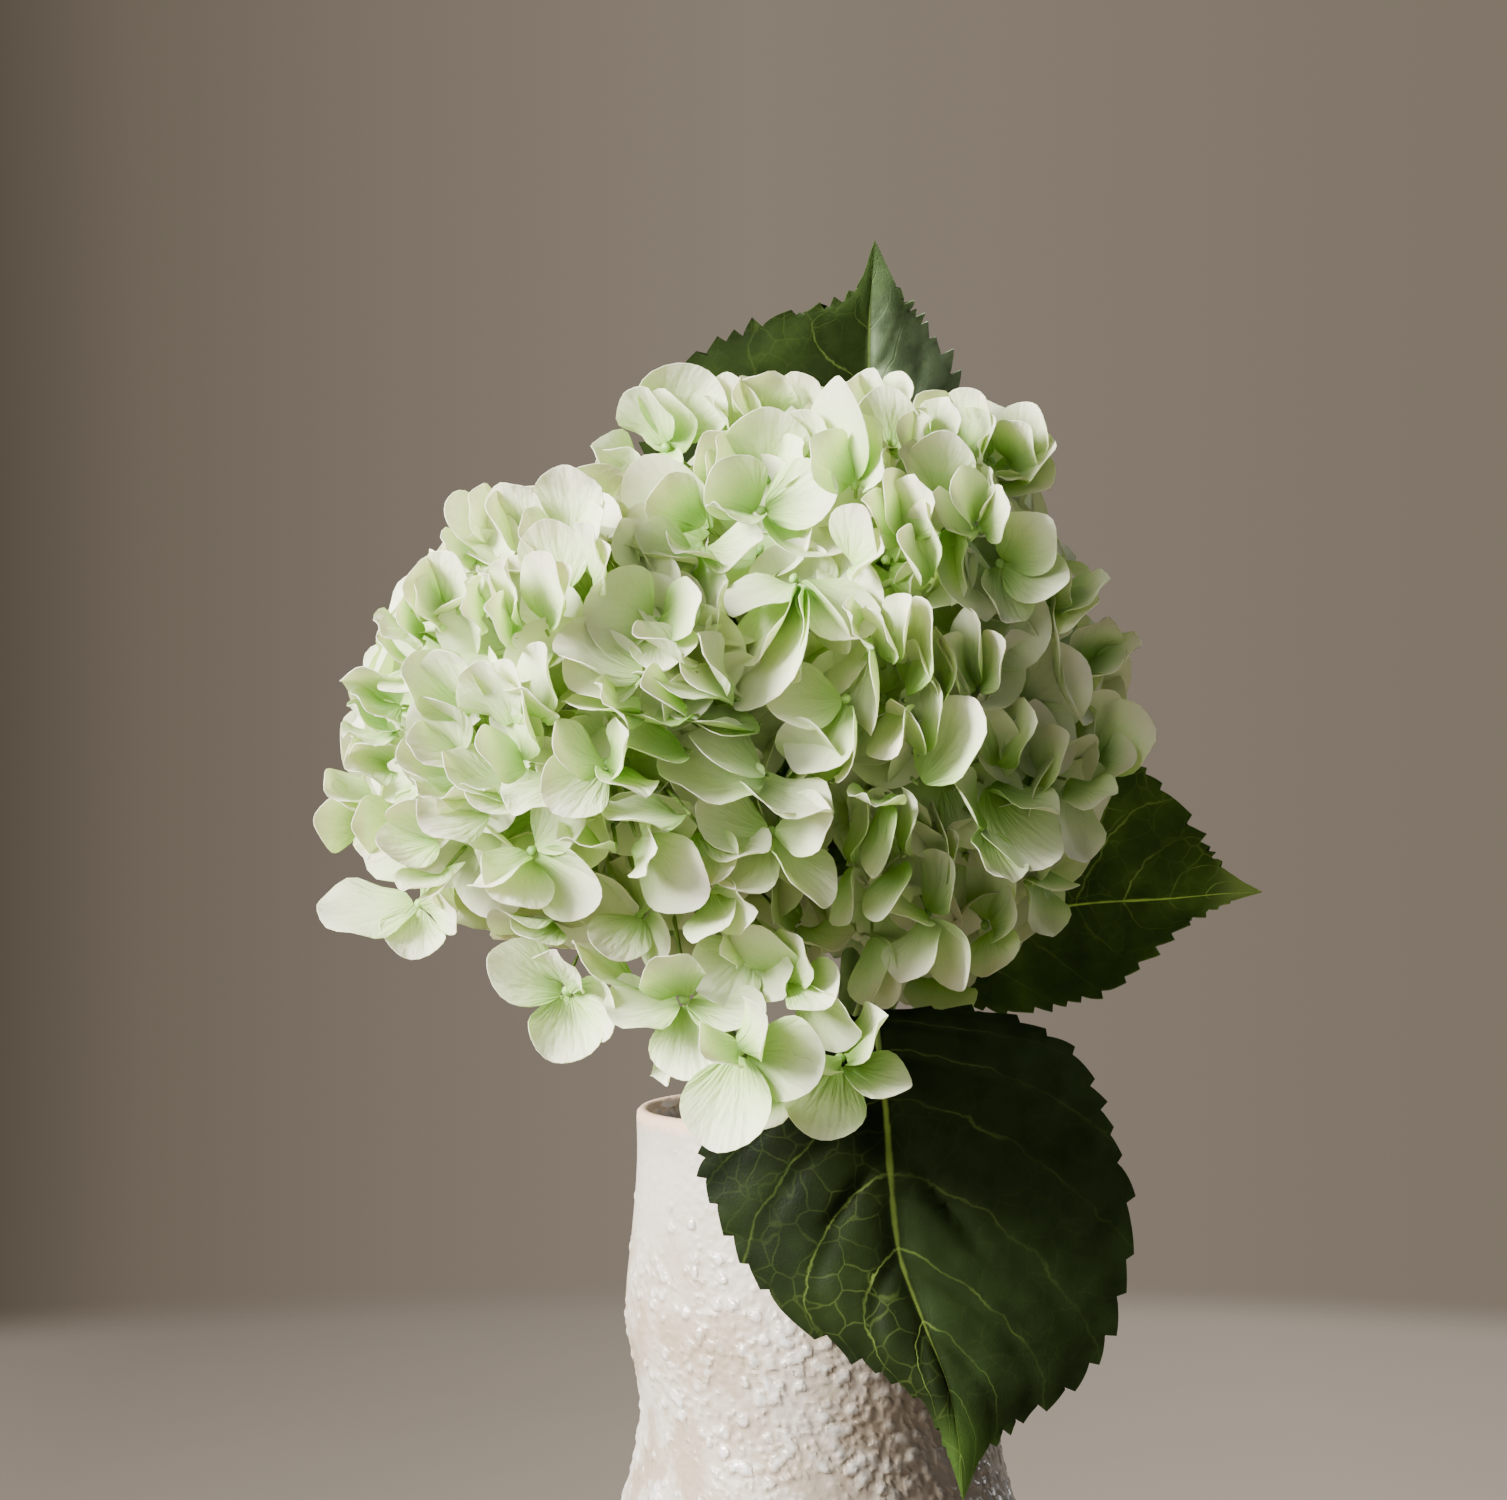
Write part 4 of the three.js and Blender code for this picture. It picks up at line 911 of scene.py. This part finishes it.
FLORETS_SEEN = {
    "tall": [
        # the crown and the left shoulder
        floret(672, 452, 2, (700, 366, 84), (632, 390, 42), (655, 500, 40)),
        floret(642, 474, -4, (593, 446, 34), (602, 476, 30)),
        floret(703, 540, -2, (634, 462, 74), (625, 522, 50)),
        floret(712, 532, 3, (655, 486, 62)),
        floret(738, 480, -2, (708, 432, 60), (706, 470, 40)),
        floret(728, 436, 2, (716, 403, 14)),
        floret(766, 480, 0, (770, 408, 76), (715, 445, 45), (805, 455, 40)),
        floret(766, 520, 4, (712, 466, 66), (836, 484, 62), (712, 507, 16), (846, 552, 46)),
        floret(713, 558, 6, (637, 548, 54), (698, 629, 50), (757, 538, 38), (681, 547, 14)),
        floret(856, 492, 3, (838, 376, 46), (868, 416, 44), (812, 444, 50), (884, 450, 30)),
        floret(815, 470, -3, (800, 410, 50)),
        floret(728, 428, -6, (726, 373, 54)),
        floret(664, 446, -6, (655, 392, 52)),
        floret(632, 488, -8, (606, 448, 46), (604, 488, 36)),
        floret(660, 500, -7, (622, 470, 46)),
        # along the top, to the right
        floret(890, 452, 0, (885, 390, 58), (925, 420, 40)),
        floret(935, 500, 2, (946, 432, 62), (903, 450, 30)),
        floret(930, 462, 0, (905, 417, 42), (950, 400, 40)),
        floret(880, 418, -2, (875, 373, 40), (912, 382, 34), (850, 385, 30)),
        floret(765, 420, -2, (762, 372, 58), (735, 385, 30)),
        floret(806, 418, -2, (806, 375, 40)),
        floret(936, 442, -2, (925, 392, 44)),
        floret(962, 452, 0, (972, 389, 50), (990, 420, 40)),
        floret(1008, 470, 0, (1036, 405, 50), (1020, 424, 46), (1052, 448, 36)),
        floret(985, 468, 2, (1050, 484, 46), (1017, 478, 16), (985, 447, 24)),
        floret(974, 512, 3, (992, 484, 18)),
        floret(970, 540, 5, (954, 470, 32), (1004, 500, 36), (930, 500, 30)),
        # narrow petals in front of the right flank
        floret(904, 545, 3, (886, 470, 30), (921, 480, 42), (868, 497, 26)),
        floret(925, 590, 5, (918, 502, 26), (900, 530, 20)),
        floret(850, 572, 4, (858, 507, 46), (880, 545, 26)),
        floret(944, 530, 4, (956, 606, 32), (985, 621, 48)),
        floret(1000, 565, 0, (1050, 522, 64), (1066, 585, 50), (1010, 620, 40)),
        floret(1052, 604, -2, (1106, 575, 26), (1090, 610, 40), (1060, 560, 40)),
        floret(1088, 664, -2, (1140, 642, 30), (1120, 665, 30), (1100, 620, 40)),
        # the half-closed floret in the middle, and the deep cup below it
        floret(803, 590, 9, (728, 609, 34), (742, 712, 66), (750, 668, 14), (792, 682, 26), (848, 653, 30),
               (873, 632, 58)),
        floret(848, 700, 6, (765, 690, 60), (800, 775, 56), (842, 783, 22)),
        floret(835, 776, 8, (793, 719, 48)),
        floret(868, 640, 6, (872, 735, 20), (850, 612, 20)),
        # the right flank
        floret(886, 666, 4, (906, 596, 26), (870, 610, 20)),
        floret(904, 700, 3, (922, 597, 38), (885, 760, 30)),
        floret(936, 712, 0, (940, 626, 36), (912, 640, 28)),
        floret(916, 754, 4, (930, 676, 38), (895, 700, 22)),
        floret(976, 690, -1, (968, 607, 28), (1000, 640, 34), (945, 640, 24)),
        floret(912, 778, 7, (980, 702, 64)),
        floret(1002, 772, -2, (988, 682, 46), (1030, 700, 40)),
        floret(1036, 795, -2, (1030, 700, 46), (1062, 730, 40)),
        floret(1085, 772, 0, (1148, 712, 68), (1110, 690, 50), (1135, 760, 40)),
        floret(990, 786, -3, (1052, 866, 62), (1060, 812, 22)),
        floret(974, 815, 7, (1008, 880, 38), (958, 778, 18)),
        floret(936, 890, 4, (934, 802, 26), (950, 830, 24)),
        floret(1068, 780, 0, (1085, 862, 40), (1105, 800, 40)),
        floret(1040, 870, 0, (1045, 936, 36), (1062, 890, 30)),
        # the bottom
        floret(885, 790, 6, (872, 878, 28), (868, 800, 20)),
        floret(900, 845, 7, (878, 922, 32), (910, 790, 16)),
        floret(848, 860, 3, (847, 924, 22), (868, 790, 18)),
        floret(921, 893, 9, (946, 854, 40), (905, 982, 44), (962, 990, 38), (890, 905, 24)),
        floret(936, 955, 5, (938, 1019, 66)),
        floret(978, 912, 5, (988, 846, 60), (996, 972, 50), (1016, 905, 40)),
        floret(872, 922, 4, (866, 1004, 34), (890, 1006, 36)),
    ],
    "low": [
        # the top and the left side
        floret(570, 546, 0, (568, 466, 64), (520, 530, 45), (600, 520, 34)),
        floret(532, 540, -2, (505, 484, 50), (488, 500, 34)),
        floret(500, 532, 0, (446, 508, 46), (470, 498, 40)),
        floret(482, 560, 0, (446, 545, 28), (455, 575, 30)),
        floret(562, 592, -2, (545, 520, 62)),
        floret(448, 614, 0, (408, 572, 50), (456, 557, 46), (415, 600, 40)),
        floret(490, 618, 2, (485, 576, 24), (465, 600, 40)),
        floret(520, 642, 4, (503, 559, 24), (490, 610, 30)),
        floret(549, 636, 4, (544, 552, 40), (566, 566, 32)),
        floret(592, 594, 3, (586, 523, 28), (603, 545, 20)),
        floret(657, 623, 0, (588, 598, 84), (670, 668, 62), (700, 600, 50)),
        floret(426, 634, 1, (381, 628, 30), (400, 615, 30)),
        floret(422, 668, 2, (383, 646, 14), (400, 690, 30)),
        floret(406, 706, 2, (349, 673, 34), (360, 700, 26)),
        floret(402, 727, 1, (352, 710, 18), (346, 733, 20)),
        floret(482, 716, 3, (404, 660, 60), (440, 648, 46)),
        floret(522, 726, 6, (474, 664, 48), (505, 662, 34)),
        floret(536, 760, 7, (504, 684, 34), (480, 740, 40)),
        floret(472, 752, 4, (420, 700, 46), (410, 745, 40)),
        floret(546, 724, 5, (534, 643, 32), (520, 690, 30)),
        # slivers in the middle
        floret(642, 680, 4, (557, 637, 46), (562, 672, 50)),
        floret(686, 678, 8, (634, 626, 12)),
        floret(724, 702, 8, (680, 658, 22), (634, 668, 26)),
        floret(640, 712, 7, (562, 699, 14), (600, 690, 30)),
        floret(676, 708, 8, (644, 684, 28)),
        floret(746, 724, 7, (666, 706, 28), (690, 722, 20)),
        floret(690, 716, 6, (611, 708, 18)),
        floret(722, 700, 6, (700, 633, 14)),
        # the broad front
        floret(606, 760, 8, (552, 736, 44), (643, 793, 28), (548, 806, 66), (625, 735, 30)),
        floret(570, 770, 5, (508, 806, 46)),
        floret(692, 752, 0, (627, 742, 34), depth=-112),
        floret(770, 776, 0, (657, 764, 62), (690, 735, 40), depth=-106),
        floret(744, 778, 0, (835, 806, 38), (790, 812, 14), depth=-106),
        floret(692, 816, 0, (600, 810, 26), depth=-114),
        floret(614, 832, 7, (561, 834, 14)),
        floret(772, 833, 0, (694, 812, 60), (722, 888, 64), (829, 906, 40), (828, 816, 58), depth=-102),
        floret(632, 825, 7, (702, 905, 66), (650, 860, 40)),
        floret(700, 826, 0, (764, 852, 40), (716, 884, 60), depth=-102),
        floret(712, 890, 0, (706, 936, 44), (750, 915, 40), depth=-98),
        floret(539, 838, 7, (598, 905, 60), (500, 902, 74), (470, 888, 14), (580, 788, 56)),
        floret(500, 806, 5, (416, 815, 54), (450, 790, 40)),
        floret(450, 832, 4, (380, 850, 44), (400, 800, 40)),
        floret(410, 820, 2, (354, 828, 56), (370, 860, 40)),
        floret(452, 862, 3, (408, 891, 26), (440, 890, 30)),
        floret(380, 795, 1, (325, 783, 28), (340, 800, 30)),
        floret(366, 826, 0, (316, 820, 56)),
        floret(400, 762, 2, (349, 765, 44), (360, 745, 36)),
        floret(472, 776, 4, (398, 748, 44), (420, 790, 40)),
        floret(530, 786, 5, (440, 755, 40), (470, 800, 40)),
        # below
        floret(420, 905, 0, (317, 912, 52), (405, 954, 60), (453, 912, 42)),
        floret(562, 918, 2, (488, 916, 16), (520, 935, 36)),
        floret(640, 905, 3, (603, 956, 56), (664, 963, 34), (620, 860, 28)),
        floret(792, 914, 4, (845, 944, 36), (770, 880, 34)),
        floret(800, 936, 5, (741, 932, 24)),
    ],
    # the loose florets that droop below the low head, with their depth
    "drooping": [
        floret(568, 991, 0, (487, 958, 60), (562, 1064, 68), (614, 1026, 50), (556, 957, 36), depth=-84),
        floret(646, 990, 0, (569, 945, 24), depth=-88),
        floret(684, 1000, 0, (604, 1012, 52), (664, 958, 60), (763, 1012, 46), (690, 1081, 66), depth=-92),
        floret(756, 946, 0, (700, 992, 72), (720, 930, 50), (784, 990, 44), depth=-84),
        floret(741, 1051, 0, (824, 1068, 78), (716, 1152, 82), (700, 1045, 40), (760, 1010, 40), depth=-104),
        floret(690, 1040, 0, (664, 1080, 28), depth=-78),
        floret(788, 982, 0, (835, 998, 54), (745, 925, 44), (858, 1040, 46), (800, 940, 44), depth=-90),
        floret(840, 1060, 0, (812, 1138, 76), (907, 1092, 40), (884, 1015, 34), (800, 1050, 30), depth=-92),
        floret(780, 1085, 0, (768, 1128, 40), depth=-80),
    ],
}
SPRAY_ROOT = seen(650, 800, -50)
# the edge of both heads together as the photograph shows it, which no hidden petal passes
BLOOM_EDGE = [
    (598, 442), (630, 392), (665, 372), (700, 365), (762, 371), (838, 367), (905, 380), (985, 398),
    (1032, 404), (1051, 430), (1054, 500), (1062, 560), (1104, 574), (1098, 625), (1140, 644),
    (1153, 705), (1148, 750), (1112, 800), (1100, 850), (1062, 915), (1020, 970), (966, 1000),
    (938, 1020), (866, 1004), (848, 1000), (700, 1000), (560, 955), (450, 930), (400, 892), (345, 862),
    (316, 825), (324, 780), (345, 730), (350, 672), (384, 640), (382, 618), (404, 575), (444, 540),
    (443, 500), (500, 483), (565, 465), (600, 482),
]

# which way the loose florets face, and how cream they are
SPRAY_OUTWARD = Vector((0, -1, -0.25)).normalized()
SPRAY_PALENESS = 0.6

# florets that the photograph hides, and the smaller ones that fill in below all of them, with each
# layer's spacing, its depth below the head and its petals' length
SEED = 7
PLACES_TRIED = 260
LAYERS = [(27, 0, 27), (21, 9, 23), (21, 17, 21)]
STEM_GAP = 14
SEAM_GAP = 5


def turned(vector, axis, degrees):
    return Matrix.Rotation(math.radians(degrees), 3, axis) @ vector


def by_parts(vector, other, divide=False):
    return Vector([a / b if divide else a * b for a, b in zip(vector, other)])


def on_head(head, unit_place):
    return turned(by_parts(unit_place, head["reach"]), "Y", head["lean"]) + head["centre"]


def outward_from(head, unit_place):
    return turned(by_parts(unit_place, head["reach"], divide=True), "Y", head["lean"]).normalized()


def seen_on_head(head, px, py):
    """Where the line of sight through a pixel first meets a head, or passes nearest to it."""
    start = by_parts(turned(EYE - head["centre"], "Y", -head["lean"]), head["reach"], divide=True)
    way = by_parts(turned(sight_line(px, py), "Y", -head["lean"]), head["reach"], divide=True)
    a, b, c = way.length_squared, start.dot(way), start.length_squared - 1
    inside = b * b - a * c
    travel = (-b - math.sqrt(inside)) / a if inside > 0 else -b / a
    return start + way * travel


def on_photo(place):
    """The pixel at which the photograph shows a place."""
    scale = (place.y - EYE.y) / -EYE.y * MM_PER_PIXEL
    return PHOTO_MIDDLE[0] + (place.x - EYE.x) / scale, PHOTO_MIDDLE[1] - (place.z - EYE.z) / scale


def within_edge(place):
    """Whether the photograph shows a place inside the edge of the heads."""
    px, py = on_photo(place)
    inside = False
    for (ax, ay), (bx, by) in zip(BLOOM_EDGE, BLOOM_EDGE[1:] + BLOOM_EDGE[:1]):
        if (ay > py) != (by > py) and px < ax + (py - ay) / (by - ay) * (bx - ax):
            inside = not inside
    return inside


def fitted(petal_frame):
    """A hidden petal made shorter until it stays within the heads' edge, or none if it would be too short."""
    start, along = petal_frame["start"], petal_frame["along"]
    sideways = petal_frame["hollow"].cross(along)
    for share in (1, 0.86, 0.72):
        length, half = petal_frame["length"] * share, petal_frame["half"] * share
        rim = [start + along * length]
        rim += [start + along * length * 0.65 + sideways * half * sign for sign in (1, -1)]
        if all(within_edge(place) for place in rim):
            return dict(petal_frame, length=length, half=half)
    return None


SEEN_BROADER = 1.12  # the blades are broader than the part of them that shows
OPEN_TO = Vector((-0.6, -0.2, 0.8))  # towards the window, which the florets' petals open to
NARROW_POINT = 2.0  # how pointed a petal is that is seen nearly edge on
NARROWEST = 0.46  # half a petal's true breadth, as a share of its length
LEAST_LENGTH = 25  # a petal that looks shorter than this leans towards the eye


def seen_petal(eye, outward, tip_px, tip_py, breadth):
    """The frame of a petal whose tip and apparent breadth the photograph gives: its start, its way to the
    tip, the way its hollow side faces, its length and half its breadth."""
    scale = (eye.y - EYE.y) / -EYE.y * MM_PER_PIXEL
    # the tip is nearer than the floret's eye, and more so where the petal looks too short to be flat
    flat = seen(tip_px, tip_py, eye.y) - eye
    nearer = max(0.3 * flat.length, 0.7 * math.sqrt(max(0, LEAST_LENGTH ** 2 - flat.length_squared)))
    chord = seen(tip_px, tip_py, eye.y - nearer) - eye
    length = chord.length
    along = chord / length
    sight = (eye - EYE).normalized()
    sideways = along.cross(sight).normalized()
    facing = sideways.cross(along)
    if facing.dot(sight) > 0:
        facing = -facing
    shown_half = breadth * SEEN_BROADER * scale / 2
    half = max(shown_half, NARROWEST * length)
    roll = math.acos(min(1, shown_half / half))
    hollow = max(
        (facing * math.cos(roll) + sideways * sign * math.sin(roll) for sign in (1, -1)),
        key=lambda way: way.dot(outward + OPEN_TO),
    )
    point = NARROW_POINT if shown_half < 0.25 * length else 0
    start = eye + along * FLORET_EYE
    return dict(start=start, along=along, hollow=hollow, length=length - FLORET_EYE, half=half, point=point)


UNEVEN = 14  # how many degrees a hidden petal may stand off its even place


def ruled_petals(place, outward, roll, cup, size, draw):
    """The frames of the four petals of a floret that stands where the photograph doesn't show it."""
    level = Vector((outward.y, -outward.x, 0)) if abs(outward.z) < 0.98 else Vector((1, 0, 0))
    level.normalize()
    frames = []
    for k in range(4):
        angle = roll + 90 * k + UNEVEN * (next(draw) - 0.5)
        radial = Matrix.Rotation(math.radians(angle), 3, outward) @ level
        rise = math.radians(0.75 * cup + UNEVEN * (next(draw) - 0.5))
        along = radial * math.cos(rise) + outward * math.sin(rise)
        hollow = outward * math.cos(rise) - radial * math.sin(rise)
        length = size * (0.93 + 0.14 * next(draw))
        start = place + radial * FLORET_EYE + outward * 0.5 * (k % 2)
        half = length * PETAL_BREADTH
        frames.append(dict(start=start, along=along, hollow=hollow, length=length, half=half, point=0))
    return [kept for kept in map(fitted, frames) if kept]


def florets_on(name, draw):
    """Every floret of a head: its place, the way out of the head there, its petals' frames and its root."""
    head = HEADS[name]
    florets = []
    for shown in FLORETS_SEEN[name]:
        unit_place = seen_on_head(head, shown["px"], shown["py"])
        outward = outward_from(head, unit_place)
        place = on_head(head, unit_place) + outward * shown["lift"]
        if shown["depth"]:
            place = seen(shown["px"], shown["py"], shown["depth"])
        frames = [seen_petal(place, outward, *petal) for petal in shown["petals"]]
        paleness = head["paleness"]
        florets.append(dict(place=place, outward=outward, frames=frames, bends=False, paleness=paleness))
    for spacing, depth, size in LAYERS:
        layer = [] if depth else florets
        # painted shade: deeper layers are less pale, so their petals are painted greener and darker deep in
        # the head
        paleness = head["paleness"] * (1 - depth / 60)
        for k in range(PLACES_TRIED):
            height = 1 - (2 * k + 1) / PLACES_TRIED
            around = k * math.pi * (3 - math.sqrt(5)) + depth
            flat = math.sqrt(1 - height * height)
            unit_place = Vector((flat * math.cos(around), flat * math.sin(around), height))
            roll, cup, length = 90 * next(draw), 26 + 22 * next(draw), size + 2 * next(draw)
            outward = outward_from(head, unit_place)
            place = on_head(head, unit_place) - outward * (depth + 2 * next(draw))
            from_seam = (place - SEAM_POINT).dot(SEAM_NORMAL) * head["side"]
            crowded = any((other["place"] - place).length < spacing for other in layer)
            at_stem = any((point - place).length < STEM_GAP for point in STEM_LINES[name])
            if from_seam < SEAM_GAP or crowded or at_stem:
                continue
            frames = ruled_petals(place, outward, roll, cup, length, draw)
            if frames:
                layer.append(dict(place=place, outward=outward, frames=frames, bends=True, paleness=paleness))
        if depth:
            florets = florets + layer
    for one in florets:
        one["root"] = head["centre"].lerp(one["place"], CORE_SHARE * 0.8)
        one["side"] = head["side"]
    return florets


def drooping_florets():
    """The loose florets below the low head, whose branchlets run together in the head."""
    florets = []
    for shown in FLORETS_SEEN["drooping"]:
        place = seen(shown["px"], shown["py"], shown["depth"])
        frames = [seen_petal(place, SPRAY_OUTWARD, *petal) for petal in shown["petals"]]
        root = (place - SPRAY_OUTWARD * 9).lerp(SPRAY_ROOT, 0.8)
        one = dict(place=place, outward=SPRAY_OUTWARD, frames=frames, root=root)
        florets.append(dict(one, bends=False, paleness=SPRAY_PALENESS))
    return florets


PETAL_GRID = 6


def petal_blank():
    """One flat round petal, modelled once: a grid drawn into a disc, given its thickness. Its x runs
    along the petal from -1 to 1, its y across, and its z through the cloth."""
    bpy.ops.mesh.primitive_grid_add(x_subdivisions=PETAL_GRID, y_subdivisions=PETAL_GRID, size=2)
    blank = bpy.context.object
    for vertex in blank.data.vertices:
        x, y = vertex.co.x, vertex.co.y
        vertex.co = (x * math.sqrt(1 - y * y / 2), y * math.sqrt(1 - x * x / 2), 0)
    for loop, uv in zip(blank.data.loops, blank.data.uv_layers[0].data):
        place = blank.data.vertices[loop.vertex_index].co
        uv.uv = ((place.x + 1) / 2, (place.y + 1) / 2)
    modified(blank, "SOLIDIFY", thickness=PETAL_THICKNESS, offset=0)
    bpy.ops.object.shade_smooth_by_angle(angle=SMOOTH_BELOW)
    blank.data.attributes.new("tone", "FLOAT", "POINT")
    return blank


def petal_sheet(x, y, shape):
    """Places on a petal's middle sheet: along it, sideways, and up on its hollow side."""
    along = (x + 1) / 2
    length = shape["length"]
    taper = 0.72 + 0.28 * np.sin(np.clip(along / 0.55, 0, 1) * math.pi / 2)
    taper = taper * (1 - shape["point"] * np.clip(along - 0.6, 0, 1) ** 2)
    side = y * taper
    rim = x * x + y * y
    around = np.arctan2(y, x)
    fold = shape["fold"] * shape["half"] * side ** 2
    bow = shape["bow"] * length * (along ** 2 - along)
    ruffle = shape["ruffle"] * rim ** 2 * np.sin(shape["waves"] * around + shape["phase"])
    curl = shape["curl"] * length * np.clip(along - 0.55, 0, 1) ** 2
    skew = shape["skew"] * length * along * (1 - along)
    return np.stack([length * along, shape["half"] * side + skew, fold + bow + ruffle + curl], axis=-1)


SEAM_SOFT = 6  # how near to the seam a petal starts to bend
SEAM_LEAST = 0.8  # how near to it a petal may come


def bent_clear(points, side):
    """Petals that would cross the seam between the heads bend along it instead."""
    normal = np.array(SEAM_NORMAL)
    depth = (points - np.array(SEAM_POINT)) @ normal * side - SEAM_LEAST
    bent = SEAM_SOFT * np.exp(np.minimum(depth, SEAM_SOFT) / SEAM_SOFT - 1)
    return points + np.outer(np.where(depth < SEAM_SOFT, bent - depth, 0) * side, normal)


def petals_of(one, blank, draw):
    """A floret's petals, each a copy of the blank bent to its own shape."""
    flat = np.empty(len(blank.data.vertices) * 3)
    blank.data.vertices.foreach_get("co", flat)
    x, y, through = flat.reshape(-1, 3).T
    paler = next(draw)
    petals = []
    for frame_of in one["frames"]:
        shape = dict(
            length=frame_of["length"],
            half=frame_of["half"],
            fold=0.10 + 0.32 * next(draw),
            bow=0.1 + 0.4 * next(draw),
            ruffle=0.4 + 1.2 * next(draw),
            waves=3 + int(3 * next(draw)),
            phase=2 * math.pi * next(draw),
            curl=0.5 * (next(draw) - 0.75),
            skew=0.2 * (next(draw) - 0.5),
            point=frame_of["point"] + 2.2 * next(draw) ** 2,
        )
        step = 0.01
        sheet = petal_sheet(x, y, shape)
        normal = np.cross(petal_sheet(x + step, y, shape) - sheet, petal_sheet(x, y + step, shape) - sheet)
        normal /= np.linalg.norm(normal, axis=1)[:, None]
        local = sheet + normal * through[:, None]
        along, hollow = frame_of["along"], frame_of["hollow"]
        axes = np.array([list(along), list(hollow.cross(along)), list(hollow)])
        points = local @ axes + np.array(frame_of["start"])
        if one["bends"]:
            points = bent_clear(points, one["side"])
        petal = bpy.data.objects.new("petal", blank.data.copy())
        bpy.context.collection.objects.link(petal)
        petal.data.vertices.foreach_set("co", points.ravel())
        tone = [one["paleness"] * (0.55 * paler + 0.45 * next(draw))] * len(points)
        petal.data.attributes["tone"].data.foreach_set("value", tone)
        petals.append(petal)
    return petals


def button_blank():
    """The small dome in the middle of a floret, modelled once."""
    bpy.ops.mesh.primitive_uv_sphere_add(segments=8, ring_count=5, radius=1)
    blank = bpy.context.object
    bpy.ops.object.shade_smooth()
    return blank


def laid(blank, place, outward, size):
    """A copy of a blank, laid at a place and facing outward."""
    copy = bpy.data.objects.new("copy", blank.data.copy())
    bpy.context.collection.objects.link(copy)
    turn = outward.to_track_quat("Z", "Y").to_matrix().to_4x4()
    copy.data.transform(Matrix.Translation(place) @ turn @ Matrix.Diagonal((*size, 1)))
    return copy


def twig_blank():
    """A thin round twig of unit length, modelled once, with a few rings to bend at."""
    bpy.ops.mesh.primitive_cylinder_add(vertices=6, radius=1, depth=1, location=(0, 0, 0.5))
    blank = bpy.context.object
    bpy.ops.object.transform_apply(location=True)
    bpy.ops.object.mode_set(mode="EDIT")
    bpy.ops.mesh.select_all(action="DESELECT")
    bpy.ops.object.mode_set(mode="OBJECT")
    for edge in blank.data.edges:
        a, b = (blank.data.vertices[k].co for k in edge.vertices)
        edge.select = abs(a.z - b.z) > 0.5
    bpy.ops.object.mode_set(mode="EDIT")
    bpy.ops.mesh.subdivide(number_cuts=3)
    bpy.ops.object.mode_set(mode="OBJECT")
    bpy.ops.object.shade_smooth_by_angle(angle=SMOOTH_BELOW)
    return blank


def twig(blank, start, end, way):
    """A copy of the twig from start, which it leaves along way, to end."""
    copy = bpy.data.objects.new("twig", blank.data.copy())
    bpy.context.collection.objects.link(copy)
    reach = (end - start).length
    line = smooth_line([start, start + way * reach * 0.35, end])
    for vertex in copy.data.vertices:
        share = vertex.co.z
        place = line(share)
        along = (line(min(1, share + 0.02)) - line(max(0, share - 0.02))).normalized()
        x = along.orthogonal().normalized()
        y = along.cross(x)
        thick = BRANCHLET_RADIUS * (1 + 0.5 * share)
        vertex.co = place + (x * vertex.co.x + y * vertex.co.y) * thick
    return copy


def core(head):
    """The dense green middle of a head, where its branchlets run together."""
    bpy.ops.mesh.primitive_ico_sphere_add(subdivisions=5, radius=1)
    ball = bpy.context.object
    ball.data.transform(Matrix.Diagonal((*(head["reach"] * CORE_SHARE), 1)))
    ball.data.transform(Matrix.Rotation(math.radians(head["lean"]), 4, "Y"))
    ball.data.transform(Matrix.Translation(head["centre"]))
    normals = [vertex.normal.copy() for vertex in ball.data.vertices]
    for vertex, normal in zip(ball.data.vertices, normals):
        vertex.co += normal * 3 * noise.noise(vertex.co / 7)
    bpy.ops.object.shade_smooth()
    return ball


LEAST_PETALS_WITH_BUTTON = 3


def head_pieces(name, blanks, finishes):
    """A flower head's petals, its buttons and its branchlets, as three pieces."""
    petal, button, twig_shape = blanks
    draw = draw_from(SEED)
    florets = florets_on(name, draw) + (drooping_florets() if name == "low" else [])
    petals, buttons, twigs = [], [], [core(HEADS[name])]
    for one in florets:
        petals += petals_of(one, petal, draw)
        facing = sum((frame_of["hollow"] for frame_of in one["frames"]), Vector()).normalized()
        if len(one["frames"]) >= LEAST_PETALS_WITH_BUTTON:
            buttons.append(laid(button, one["place"] + facing * BUTTON_RISE, facing, BUTTON_SIZE))
        way_in = -one["outward"]
        twigs.append(twig(twig_shape, one["place"] + way_in * 0.6, one["root"], way_in))
    node = "bloom_" + name
    finished(joined(petals), name + "_head_petals", node, finishes["petal"])
    finished(joined(buttons), name + "_head_buttons", node, finishes["button"])
    finished(joined(twigs), name + "_head_branchlets", node, finishes["stem"])


# ---- The whole -----------------------------------------------------------------------------------

camera()
floor()
backdrop()
for name, settings in LIGHTS.items():
    soft_light(name, *settings)

finishes = dict(petal=petal_finish(), button=bud_finish(), stem=stem_finish())
finished(vase(), "glazed_vase", "vase", glaze_finish())
for name in STEM_POINTS:
    finished(stem(name), name + "_stem", "stem_" + name, finishes["stem"])
for name, looks in LEAF_LOOKS.items():
    cloth = leaf_finish(name + "_leaf_cloth", **looks)
    finished(leaf(name, cloth, finishes["stem"]), name + "_leaf", "leaf_" + name)
blanks = [petal_blank(), button_blank(), twig_blank()]
for name in HEADS:
    head_pieces(name, blanks, finishes)
for blank in blanks:
    bpy.data.objects.remove(blank)

corners = {"cad": CAD_BOX, "visual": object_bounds()}
{name: [list(corner) for corner in box] for name, box in corners.items()}
